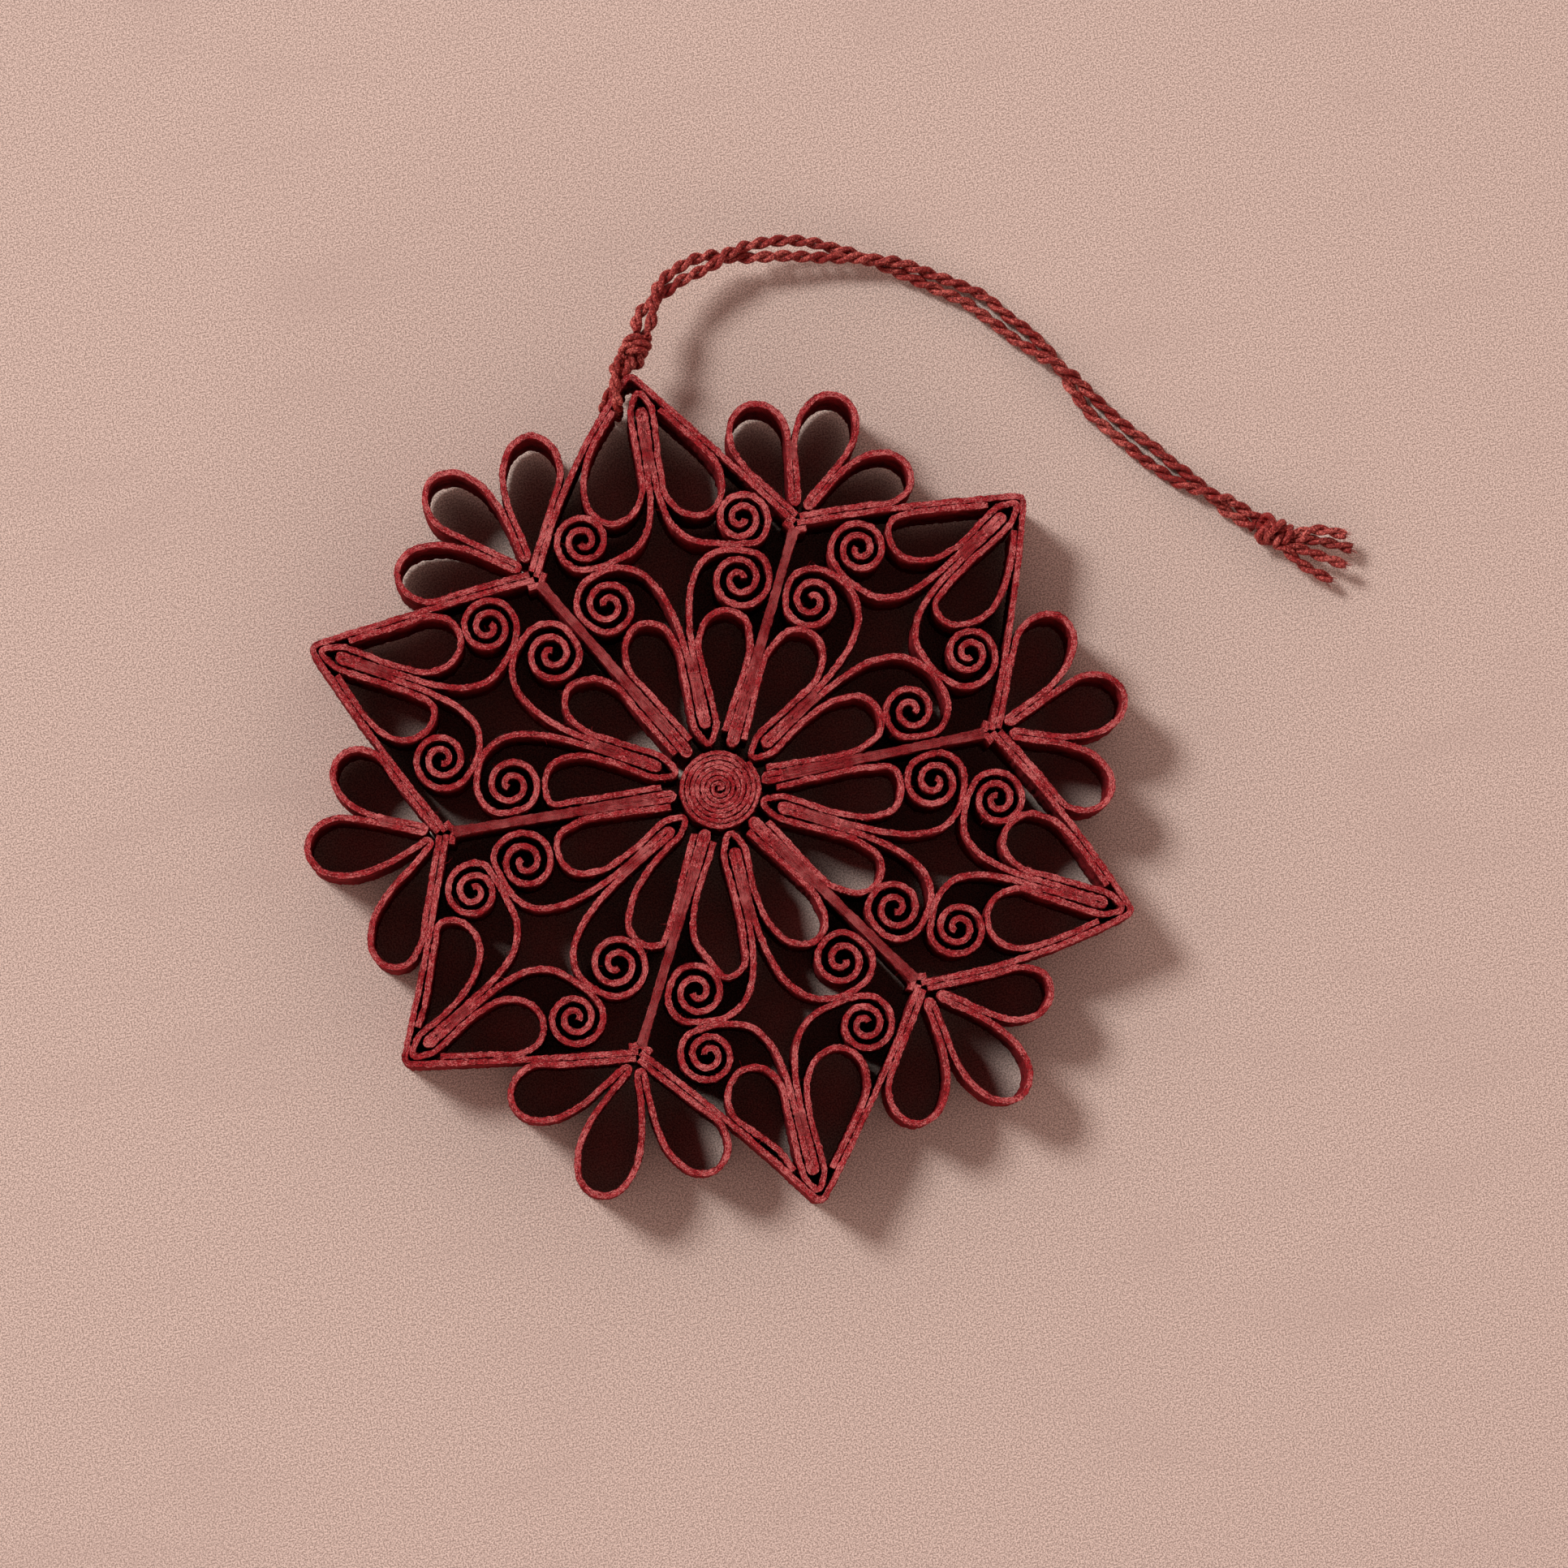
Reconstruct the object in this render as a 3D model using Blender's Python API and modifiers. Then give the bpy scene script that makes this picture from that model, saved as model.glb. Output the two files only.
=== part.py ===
"""Quilled paper snowflake with a twisted hanging cord.

The ornament is built from strips of thick red paper standing on edge. A tight coil is the hub. Six
folded strips are the spokes, and six folded strips are the points of the star. Between them stand
folded strips rolled into paired scrolls, and strips bent round into petals. Three more petals sit
in each valley outside the star. The cord passes through the petal under the hanging tip.

The origin is at the hub's centre, on the underside. +Z is up through the strips' width, and the
hanging tip points along +Y. Sectors and valleys are numbered anticlockwise, seen from above, and
left is the anticlockwise side of a sector or valley.
"""

import math

import bmesh
import bpy
from mathutils import Matrix, Vector

MM = 0.001
DEG = math.pi / 180

# The paper, in metres as all sizes here
STRIP_DEPTH = 0.0095
PAPER = 0.00072
GLUE_LINE = 0.00008
FOLD_EYE = 0.00012  # how far a sharp fold stays open, beyond half the paper
FOLD_STEPS = 4
FOLD_SETTLE = 0.0016  # how far from a fold its two layers take to close up

# The star
SECTORS = 6
TIP_REACH = 0.0526  # to where the middle lines of a point's two sides would meet
TIP_ROUNDING = 0.0008
VALLEY_REACH = 0.0343
FOOT_LENGTH = 0.0011  # the turned-out ends of a spoke

# The hub
HUB_RADIUS = 0.0053
HUB_PAPER = 0.00055
HUB_GAP = 0.00008
HUB_EYE = 0.0005  # the first turn's radius
HUB_START = 0.00015  # how far the strip starts beyond the centre
HUB_STEPS = 12

# The scrolls: a stem from a fold, a sweep outwards, and a coil
SCROLL_INSET = 0.0022  # how far a scroll's fold lies inside the petals' fold
OUTER_STEM = 0.0078
INNER_STEM = 0.0088
COIL_TURNS = 2.2
COIL_EYE = 0.0005
COIL_STEPS = 9
COIL_SWELL_ANGLE = 165 * DEG  # how soon the strip that comes in has closed up to the coil
SWEEP_STEPS = 5
OUTER_PULLS = (0.66, 0.55)  # how far a sweep keeps its two ends' directions, of its span
INNER_PULLS = (0.56, 0.46)
SWEEP_ROUNDS = 12  # of evening out the bend from a stem into its coil
SWEEP_EASE = 0.07  # how far a round moves a point
OUTER_COIL_RADIUS = 0.0037
OUTER_COIL_PLACE = (0.0328, 0.0093)  # outwards along the sector, and sideways
INNER_COIL_RADIUS = 0.0041
INNER_COIL_PLACE = (0.0243, 0.0089)
COIL_ROOM = 0.0033  # from a coil's centre to the strips beside it, less the glued layer

# The petals inside the star
PETAL_STEPS = 12
PETAL_SEAT = 0.0014  # how far from their fold the two petals have spread to the scrolls' width
PETAL_ROOT = 0.0003  # how far a petal's free end stays from where its two sides would touch
OUTER_PETAL_PLACE = (0.0352, 0.0063)  # the round end
OUTER_PETAL_WIDTH = 0.0076
INNER_PETAL_PLACE = (0.0215, 0.0063)
INNER_PETAL_WIDTH = 0.0072

# The three loops outside each valley
LOOP_STEPS = 12
LOOP_WIDTH = 0.0073
LOOP_ROOT = 0.0013
MIDDLE_LOOP_LENGTH = 0.0177
SIDE_LOOP_LENGTH = 0.0168
SIDE_LOOP_ANGLE = 45 * DEG

# The cord: two strands laid together, knotted at the tip and near the end
CORD_DIAMETER = 0.0023
STRAND = 0.00095
CORD_TO_KNOT = 0.0002
LOOP_TO_KNOT = 0.0005
LOOP_START = 0.00135  # from the tip to where the loop's first strand crosses the left leg
LOOP_PITCH = 0.0017  # from the first strand to the second, along the leg
LOOP_SLANT = 40 * DEG  # between the leg and the strands over it
LOOP_RUN_UP = 0.0014  # how far before the leg each strand is level with it
LOOP_STARTS = (-0.0003, 0.0016)  # how far left each strand leaves the knot
LOOP_LIFT = 0.0013  # how far above the knot's middle it leaves it
LOOP_RETURN_PLACE = (0.0004, 0.0013)  # along the leg from the tip and outwards, on its way back
LOOP_RETURNS = (0.0034, 0.0057)  # how high each strand is outside the leg, on its way back
LOOP_ENDS = ((-0.0003, -0.0014), (0.0002, -0.0003))  # left and up, where it comes back
CORD_PETAL_ROOT = 0.0018  # how much lower the petal beside the cord's loop begins
CORD_SIDES = 2  # bevel resolution
NOTCH_HEIGHT = 0.0013  # the strands pass under the leg here
TIP_KNOT_PLACE = (0.0014, 0.0560, 0.0070)
TIP_KNOT_LENGTH = 0.0044
TIP_KNOT_RADIUS = 0.0017
END_KNOT_PLACE = (0.0753, 0.0179, 0.0021)
END_KNOT_LENGTH = 0.0040
END_KNOT_RADIUS = 0.0018
KNOT_TURNS = 3
KNOT_WAIST = 0.16
KNOT_PROFILE = 12
KNOT_STEPS = 12
TASSEL_STRAND = 0.0011
TASSEL_SPREAD = 0.00062

PAPER_COLOR = (0.36, 0.035, 0.042)
CORD_COLOR = (0.30, 0.032, 0.034)

# Where hand work left each piece: outwards and sideways in millimetres, or outwards and degrees
TIP_HAND = ((0.3, 0.0), (0.7, -1.2), (-1.2, -0.8), (-0.1, 1.6), (0.7, 1.2), (0.1, 1.8))
LEG_BOW_HAND = ((1.3, 0.1), (0.4, 0.2), (0.2, -0.2), (0.5, -0.4), (0.7, 1.1), (0.4, 0.5))
VALLEY_HAND = ((0.1, 1.7), (0.1, -1.0), (-0.4, -2.7), (-0.4, 1.1), (0.1, 3.5), (0.1, -0.2))
OUTER_COIL_HAND = (
    ((0.7, 0.6), (-0.5, 0.5)),
    ((0.6, -1.5), (0.9, 0.6)),
    ((-0.8, 0.3), (-1.7, 1.1)),
    ((-0.3, 1.2), (-1.2, -0.2)),
    ((0.5, -0.7), (0.3, -1.3)),
    ((0.5, 0.1), (1.2, 0.1)),
)
INNER_COIL_HAND = (
    ((0.6, 0.1), (0.6, -0.9)),
    ((-0.5, 0.0), (0.3, 0.5)),
    ((-0.5, -0.9), (-0.4, 0.0)),
    ((-0.2, 0.8), (-1.1, 0.6)),
    ((0.8, -0.4), (0.6, -0.8)),
    ((0.2, 0.0), (-0.6, 0.8)),
)
OUTER_PETAL_HAND = (
    ((-0.2, 0.1), (-1.4, -0.3)),
    ((0.9, -1.8), (0.8, 0.5)),
    ((-0.2, 0.7), (-0.6, 2.1)),
    ((-0.6, 0.7), (-0.8, -0.7)),
    ((0.1, -0.5), (0.9, -0.3)),
    ((1.5, 1.1), (-0.5, -1.6)),
)
INNER_PETAL_HAND = (
    ((0.4, -0.9), (0.1, -0.6)),
    ((-0.7, 0.4), (0.1, -0.8)),
    ((-1.6, 2.3), (-0.8, 0.4)),
    ((-0.3, 0.7), (1.3, -1.6)),
    ((0.5, 0.4), (0.8, -1.0)),
    ((0.3, -0.2), (-0.3, 0.6)),
)
SIDE_LOOP_HAND = (
    ((-0.8, -6), (-1.1, 2)),
    ((0.3, 1), (1.2, -6)),
    ((1.1, 11), (-0.6, -2)),
    ((0.4, 5), (0.0, 6)),
    ((-0.5, -5), (0.4, 2)),
    ((0.0, 1), (-0.1, -4)),
)
MIDDLE_LOOP_HAND = ((-0.8, -2), (0.2, 5), (-0.5, -2), (0.5, 0), (0.9, -3), (-0.5, 4))
LEG_BENDS = (0.33, 0.68)  # where along a leg its bow bends
CORD_SECTOR = 0
CORD_FOLD_HAND = (-1.0, -0.6)  # the cord pushes the petals' fold under its tip aside

# The cord's route from the knot at the tip to the knot near its end, chosen by eye
CORD_ROUTE = (
    (0.0026, 0.0580, 0.0066),
    (0.0037, 0.0602, 0.0063),
    (0.0056, 0.0625, 0.0057),
    (0.0079, 0.0642, 0.0052),
    (0.0107, 0.0653, 0.0046),
    (0.0142, 0.0660, 0.0039),
    (0.0187, 0.0661, 0.0033),
    (0.0235, 0.0656, 0.0029),
    (0.0278, 0.0644, 0.0025),
    (0.0321, 0.0628, 0.0021),
    (0.0368, 0.0605, 0.0018),
    (0.0411, 0.0577, 0.0015),
    (0.0450, 0.0549, 0.0014),
    (0.0484, 0.0509, 0.0013),
    (0.0515, 0.0472, 0.0012),
    (0.0544, 0.0429, 0.0012),
    (0.0568, 0.0384, 0.0012),
    (0.0595, 0.0346, 0.0012),
    (0.0623, 0.0312, 0.0012),
    (0.0650, 0.0280, 0.0012),
    (0.0679, 0.0251, 0.0012),
    (0.0708, 0.0223, 0.0015),
    (0.0737, 0.0194, 0.0020),
)
CORD_POINTS = 30
TASSEL_ENDS = (
    (0.0841, 0.0154, 0.0032),
    (0.0846, 0.0137, 0.0022),
    (0.0833, 0.0117, 0.0029),
    (0.0813, 0.0103, 0.0020),
)

LEFT = 1
RIGHT = -1
LAYER = PAPER + GLUE_LINE  # from the middle of one strip to the middle of the one glued to it
FOLD_RADIUS = PAPER / 2 + FOLD_EYE
WRAP = FOLD_RADIUS + LAYER  # from the middle of a folded strip to a strip laid round it


def polar(radius, angle):
    return Vector((radius * math.cos(angle), radius * math.sin(angle)))


def bearing(point):
    return math.atan2(point.y, point.x)


def turned(points, angle):
    turn = Matrix.Rotation(angle, 2)
    return [turn @ p for p in points]


def mirrored(points):
    return [Vector((p.x, -p.y)) for p in points]


def normal_of(direction):
    """The direction turned a quarter to the left, with a length of 1."""
    return Vector((-direction.y, direction.x)).normalized()


def shifted(place, hand):
    return Vector((place[0] + hand[0] * MM, place[1] + hand[1] * MM))


def bend(centre, radius, start, end, steps):
    """The corners of a bend drawn round an arc, so that its straight pieces touch the arc."""
    step = (end - start) / steps
    reach = radius / math.cos(step / 2)
    return [centre + polar(reach, start + step * (i + 0.5)) for i in range(steps)]


def kept_off(points, wall, inside, clearance):
    """Points that come nearer to a straight wall than the clearance are laid along it."""
    start, end = wall
    out = normal_of(end - start)
    if (inside - start).dot(out) < 0:
        out = -out
    return [p + out * max(0.0, clearance - (p - start).dot(out)) for p in points]


def kept_outside(points, centre, reach_at):
    """Points that come too near to a round neighbour are pushed straight away from its centre."""
    line = []
    for p in points:
        away = p - centre
        line.append(centre + away * max(1.0, reach_at(bearing(away)) / away.length))
    return line


def kept_beside(points, path, inside, clearance):
    """Points that come nearer to a path than the clearance are pushed to its inside."""
    line = []
    for p in points:
        nearest = None
        for a, b in zip(path, path[1:]):
            along = b - a
            share = min(1.0, max(0.0, (p - a).dot(along) / along.length_squared))
            q = a + along * share
            if nearest is None or (p - q).length < (p - nearest[0]).length:
                nearest = (q, normal_of(along))
        q, out = nearest
        if (inside - q).dot(out) < 0:
            out = -out
        away = (p - q).dot(out)
        near = (p - q).length < clearance * 1.5
        line.append(p + out * (clearance - away) if near and away < clearance else p)
    return line


def sweep(start, heading, end, end_heading, pulls, steps):
    """The points between two ends of a smooth bend that leaves and arrives along its headings."""
    span = (end - start).length
    a = start + heading * pulls[0] * span
    b = end - end_heading * pulls[1] * span
    line = []
    for i in range(1, steps):
        t = i / steps
        s = 1 - t
        line.append(start * s**3 + a * 3 * s * s * t + b * 3 * s * t * t + end * t**3)
    return line


def evened(line, first, last, kept):
    """The points from first to last are moved until the line bends evenly, as a strip does.

    `kept` takes the whole line and puts its points back where the neighbours leave room.
    """
    for _ in range(SWEEP_ROUNDS):
        moved = list(line)
        for i in range(first, last + 1):
            a, b, c, d, e = line[i - 2 : i + 3]
            moved[i] = c - (a - b * 4 + c * 6 - d * 4 + e) * SWEEP_EASE
        line = kept(moved)
    return line


def teardrop(root, far, width, steps):
    """A loop from its root along its left side, round its far end and back to the root."""
    axis = far - root
    side = normal_of(axis)
    widest = 0.77  # the largest value of sin(a) sin(a / 2)
    line = []
    for i in range(1, steps):
        a = math.tau * i / steps
        across = math.sin(a) * math.sin(a / 2) * width / 2 / widest
        line.append(root + axis * (1 - math.cos(a)) / 2 + side * across)
    return line


def coil_reach(radius, swell, turn):
    """How far the strip is from a coil's centre, after an anticlockwise turn from its entry."""
    share = min(1.0, turn / COIL_SWELL_ANGLE)
    wider = swell * (1 + math.cos(math.pi * share)) / 2
    return radius + (COIL_EYE - radius) * turn / (COIL_TURNS * math.tau) + wider


def coil(centre, radius, swell, entry):
    """An anticlockwise coil, from its outside to its eye."""
    steps = round(COIL_TURNS * COIL_STEPS)
    line = []
    for i in range(steps + 1):
        turn = i / steps * COIL_TURNS * math.tau
        line.append(centre + polar(coil_reach(radius, swell, turn), entry + turn))
    return line


def tip(k):
    """The point of sector k, in plan."""
    out, turn = TIP_HAND[k % SECTORS]
    angle = math.pi / 2 + (k % SECTORS) * math.tau / SECTORS + turn * DEG
    return polar(TIP_REACH + out * MM, angle)


def valley(k):
    """The valley on the right of sector k, in plan."""
    out, turn = VALLEY_HAND[k % SECTORS]
    angle = math.pi / 2 + (k % SECTORS - 0.5) * math.tau / SECTORS + turn * DEG
    return polar(VALLEY_REACH + out * MM, angle)


def leg_points(k, side):
    """A leg of the star from the tip of sector k to the valley on that side, bowed outwards."""
    start = tip(k)
    end = valley(k + 1 if side == LEFT else k)
    bow = LEG_BOW_HAND[k % SECTORS][0 if side == LEFT else 1] * MM
    out = normal_of(end - start) * -side
    middle = [start.lerp(end, s) + out * bow * 4 * s * (1 - s) for s in LEG_BENDS]
    return [start] + middle + [end]


class Half:
    """One half of a sector's outer or inner band, seen from the fold that its strips start at.

    x runs from the fold into the sector, and y towards the half's own side. The outer band's fold
    is under the tip, and the inner band's is at the hub.
    """

    def __init__(self, k, side, outer):
        self.side = side
        self.angle = bearing(tip(k))
        self.facing = -1 if outer else 1
        index = 0 if side == LEFT else 1
        corner = valley(k + 1 if side == LEFT else k)
        if outer:
            legs = [leg_points(k, s) for s in (LEFT, RIGHT)]
            sharpness = min((leg[0] - leg[1]).angle(tip(k)) for leg in legs)
            self.fold_reach = tip(k).length - WRAP / math.sin(sharpness)
        else:
            self.fold_reach = HUB_RADIUS + GLUE_LINE + PAPER / 2 + FOLD_RADIUS
        leg = [self.inward(p) for p in leg_points(k, side)]
        legs = [(pair, LAYER) for pair in zip(leg, leg[1:])]
        spoke = ((self.inward(Vector((0, 0))), self.inward(corner)), WRAP)
        self.walls = legs + [spoke] if outer else [spoke] + legs
        self.stem_start = Vector((0, 0))
        self.root_room = PETAL_ROOT
        if outer and k == CORD_SECTOR:
            self.stem_start = Vector((-CORD_FOLD_HAND[0], CORD_FOLD_HAND[1] * side)) * MM
            self.root_room += CORD_PETAL_ROOT if side == LEFT else 0
        self.stem_length = OUTER_STEM if outer else INNER_STEM
        self.stem_end = Vector((SCROLL_INSET + self.stem_length + self.stem_start.x, 0))
        outer_coil = self.placed(shifted(OUTER_COIL_PLACE, OUTER_COIL_HAND[k][index]))
        inner_coil = self.placed(shifted(INNER_COIL_PLACE, INNER_COIL_HAND[k][index]))
        for pair, room in self.walls:
            inside = outer_coil.lerp(inner_coil, 0.5)
            outer_coil = kept_off([outer_coil], pair, inside, room + COIL_ROOM)[0]
            inner_coil = kept_off([inner_coil], pair, inside, room + COIL_ROOM)[0]
        inner_share = INNER_COIL_RADIUS / (INNER_COIL_RADIUS + OUTER_COIL_RADIUS)
        self.parting = inner_coil.lerp(outer_coil, inner_share)
        if outer:
            self.coil_centre = outer_coil
            self.coil_radius = OUTER_COIL_RADIUS
            self.far = self.placed(shifted(OUTER_PETAL_PLACE, OUTER_PETAL_HAND[k][index]))
            self.width = OUTER_PETAL_WIDTH
        else:
            self.coil_centre = inner_coil
            self.coil_radius = INNER_COIL_RADIUS
            self.far = self.placed(shifted(INNER_PETAL_PLACE, INNER_PETAL_HAND[k][index]))
            self.width = INNER_PETAL_WIDTH
        meeting = self.parting - self.coil_centre
        self.entry = bearing(meeting)
        self.swell = max(0.0, meeting.length - LAYER / 2 - self.coil_radius)

    def placed(self, p):
        """A place given as outwards and sideways in the sector."""
        return Vector(((p.x - self.fold_reach) * self.facing, p.y))

    def inward(self, p):
        q = turned([p], -self.angle)[0]
        return self.placed(Vector((q.x, q.y * self.side)))

    def outward(self, points):
        line = [Vector((p.x * self.facing + self.fold_reach, p.y * self.side)) for p in points]
        return turned(line, self.angle)

    def stem(self, along, aside):
        """A point beside the stem, measured from the petals' fold."""
        direction = (self.stem_end - self.stem_start).normalized()
        return self.stem_start + direction * along + normal_of(direction) * aside

    def fold_corners(self, along):
        """A fold's corners, from the layer on this half's side round to the other layer."""
        angle = bearing(self.stem_end - self.stem_start) + math.pi / 2
        return bend(self.stem(along, 0), FOLD_RADIUS, angle, angle + math.pi, FOLD_STEPS)

    def petal(self):
        """From the free end along the wall, round the far end and back beside the stem."""
        wall, clearance = self.walls[0]
        along_wall = (wall[1] - wall[0]).normalized()
        glued = kept_off([wall[0]], wall, self.coil_centre, clearance)[0]
        stem_side = (self.stem(0, WRAP), self.stem(1, WRAP))
        across = normal_of(stem_side[1] - stem_side[0])
        start_gap = (glued - stem_side[0]).dot(across)
        growth = along_wall.dot(across)
        root = glued - along_wall * start_gap / growth
        first = glued + along_wall * ((LAYER - start_gap) / growth + self.root_room)
        line = teardrop(root, self.far, self.width, PETAL_STEPS)
        line = kept_outside(line, self.coil_centre, self.coil_room)
        for each, room in self.walls:
            line = kept_off(line, each, self.coil_centre, room)
        line = kept_off(line, stem_side, self.coil_centre, 0.0)
        middle = root.lerp(self.far, 0.6)
        line = kept_beside(line, self.scroll(), middle, LAYER + GLUE_LINE)
        half = PETAL_STEPS // 2
        free = [p for p in line[: half - 1] if (p - first).dot(along_wall) > PAPER]
        seated = self.stem(PETAL_SEAT, WRAP)
        back = [p for p in line[half - 1 :] if p.x - seated.x > PAPER]
        return [first] + free + back + [seated]

    def coil_room(self, angle):
        """How far from the coil's centre a strip beside the coil runs."""
        turn = (angle - self.entry) % math.tau
        return coil_reach(self.coil_radius, self.swell, turn) + LAYER + 2 * GLUE_LINE

    def coil_skin(self, angle):
        """How far from the coil's centre its own strip runs where it comes in."""
        return self.coil_radius + (COIL_EYE - self.coil_radius) / COIL_TURNS + LAYER + GLUE_LINE

    def scroll(self):
        """From beside the scroll's fold along the stem and the sweep to the coil's eye."""
        heading = (self.stem_end - self.stem_start).normalized()
        start = self.stem(SCROLL_INSET + self.stem_length, LAYER / 2)
        rolled = coil(self.coil_centre, self.coil_radius, self.swell, self.entry)
        entering = (rolled[1] - rolled[0]).normalized()
        pulls = OUTER_PULLS if self.facing < 0 else INNER_PULLS
        swept = sweep(start, heading, rolled[0], entering, pulls, SWEEP_STEPS)
        spacing = (rolled[1] - rolled[0]).length
        entry = 2 + len(swept)
        line = [start - heading * spacing, start] + swept + rolled
        across = self.coil_centre - self.parting
        line_between = (self.parting, self.parting + normal_of(across))

        def kept(points):
            for wall, clearance in self.walls:
                points = kept_off(points, wall, self.coil_centre, clearance)
            points = points[:2] + kept_off(points[2:], line_between, self.coil_centre, LAYER / 2)
            arriving = kept_outside(points[2:entry], self.coil_centre, self.coil_skin)
            return points[:2] + arriving + points[entry:]

        line = evened(kept(line), 2, entry - 1, kept)
        return [self.stem(SCROLL_INSET + FOLD_SETTLE, LAYER / 2)] + line[1:]


def petal_pair(k, outer):
    """One strip bent into the two petals of a band, round the fold of the scrolls."""
    left, right = Half(k, LEFT, outer), Half(k, RIGHT, outer)
    fold = left.outward(left.fold_corners(0.0))
    return left.outward(left.petal()) + fold + right.outward(right.petal())[::-1]


def scroll_pair(k, outer):
    """One folded strip with both ends rolled up."""
    left, right = Half(k, LEFT, outer), Half(k, RIGHT, outer)
    fold = left.outward(left.fold_corners(SCROLL_INSET))
    return left.outward(left.scroll())[::-1] + fold + right.outward(right.scroll())


def leg_line(k, side):
    """The star's leg from valley k to the tip on that side, in the valley's own frame."""
    legs = leg_points(k, RIGHT) if side == LEFT else leg_points(k - 1, LEFT)
    line = turned(legs[::-1], -bearing(valley(k)))
    return line if side == LEFT else mirrored(line)


def leg_of(k, side):
    """The start of the star's leg beside valley k, seen from the valley."""
    line = leg_line(k, side)
    return line[1] - line[0]


def butt(angle):
    """How far from the valley's own line the end of a strip stops, so that two ends clear."""
    return (PAPER / 2 * abs(math.cos(angle)) + GLUE_LINE / 2) / math.sin(angle)


def star_point(k):
    """One folded strip along both legs of a tip."""
    point = tip(k)
    legs = [leg_points(k, side) for side in (LEFT, RIGHT)]
    for leg, corner, side in ((legs[0], k + 1, RIGHT), (legs[1], k, LEFT)):
        angle = bearing(leg_of(corner, side))
        leg[-1] = leg[-1] + (leg[-2] - leg[-1]).normalized() * butt(angle)
    left = (legs[0][1] - point).normalized()
    right = (legs[1][1] - point).normalized()
    half = left.angle(right) / 2
    inwards = (left + right).normalized()
    centre = point + inwards * TIP_ROUNDING / math.sin(half)
    turn = math.pi - 2 * half
    start = bearing(-inwards) + turn / 2
    rounded = bend(centre, TIP_ROUNDING, start, start - turn, FOLD_STEPS)
    return legs[0][:0:-1] + rounded + legs[1][1:]


def spoke(k):
    """One folded strip from the hub to valley k, with both ends turned out along the legs."""
    reach = valley(k).length
    fold_x = HUB_RADIUS + GLUE_LINE + PAPER / 2 + FOLD_RADIUS
    fold = bend(Vector((fold_x, 0)), FOLD_RADIUS, math.pi / 2, 1.5 * math.pi, FOLD_STEPS)
    halves = []
    for side in (LEFT, RIGHT):
        leg = leg_of(k, side).normalized()
        slip = (LAYER / 2 - LAYER * leg.x) / leg.y
        ankle = Vector((reach + slip * leg.x - LAYER * leg.y, LAYER / 2))
        line = [ankle + leg * FOOT_LENGTH, ankle, Vector((fold_x + FOLD_SETTLE, LAYER / 2))]
        halves.append(line if side == LEFT else mirrored(line))
    return turned(halves[0] + fold + halves[1][::-1], bearing(valley(k)))


def loop_fold(k, side):
    """The fold between a side loop and the middle one: its centre and its direction."""
    leg = leg_of(k, side).normalized()
    aside = FOLD_RADIUS + LAYER / 2 + GLUE_LINE
    room = 2 * LAYER + FOLD_RADIUS + GLUE_LINE
    depth = (room + aside * leg.x) / leg.y
    turn = SIDE_LOOP_HAND[k][0 if side == LEFT else 1][1]
    angle = (SIDE_LOOP_ANGLE + turn * DEG) / 2
    return Vector((valley(k).length + depth, aside)), polar(1, angle)


def side_loop(k, side):
    """From the valley's corner along the leg, round the side loop and back to the fold."""
    corner = Vector((valley(k).length, 0))
    leg = leg_of(k, side).normalized()
    out, turn = SIDE_LOOP_HAND[k][0 if side == LEFT else 1]
    axis = polar(1, SIDE_LOOP_ANGLE + turn * DEG)
    far = corner + axis * (SIDE_LOOP_LENGTH + out * MM)
    root = corner + axis * LOOP_ROOT
    fold, direction = loop_fold(k, side)
    line = teardrop(root, far, LOOP_WIDTH, LOOP_STEPS)
    line = kept_off(line, (corner, corner + leg), far, LAYER)
    line = kept_beside(line, leg_line(k, side), far, LAYER + GLUE_LINE / 2)
    line = kept_off(line, (fold, fold + direction), far, LAYER / 2)
    start = corner + Vector((LAYER / leg.y, 0)) + leg * butt(bearing(leg))
    ahead = start + leg * LAYER
    half = LOOP_STEPS // 2
    free = [p for p in line[:half] if (p - ahead).dot(leg) > PAPER]
    back = [p for p in line[half:] if (p - fold).dot(direction) > FOLD_SETTLE]
    return [start, ahead] + free + back


def valley_loops(k):
    """One strip bent into three loops outside valley k, its ends meeting in the corner."""
    sides = []
    folds = []
    for side in (LEFT, RIGHT):
        line = side_loop(k, side)
        fold, direction = loop_fold(k, side)
        angle = bearing(direction) + math.pi / 2
        line += bend(fold, FOLD_RADIUS, angle, angle + math.pi, FOLD_STEPS)
        if side == RIGHT:
            line = mirrored(line)
            fold, direction = mirrored([fold, direction])
        sides.append(line)
        folds.append((fold, direction))
    out, turn = MIDDLE_LOOP_HAND[k]
    corner = Vector((valley(k).length, 0))
    far = corner + polar(MIDDLE_LOOP_LENGTH + out * MM, turn * DEG)
    root = corner + Vector((folds[0][0].x - corner.x, 0)) * 0.8
    middle = teardrop(root, far, LOOP_WIDTH, LOOP_STEPS)
    for fold, direction in folds:
        middle = kept_off(middle, (fold, fold + direction), far, LAYER / 2)
        middle = [p for p in middle if (p - fold).dot(direction) > FOLD_SETTLE]
    return turned(sides[0] + middle + sides[1][::-1], bearing(valley(k)))


def hub_coil():
    """The hub's roll, from its eye to its outside."""
    pitch = HUB_PAPER + HUB_GAP
    steps = int((HUB_RADIUS - HUB_PAPER / 2 - HUB_EYE) / pitch * HUB_STEPS)
    line = [Vector((-HUB_START, 0))]
    for i in range(steps):
        line.append(polar(HUB_EYE + pitch * i / HUB_STEPS, math.tau * i / HUB_STEPS))
    return line


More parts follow.
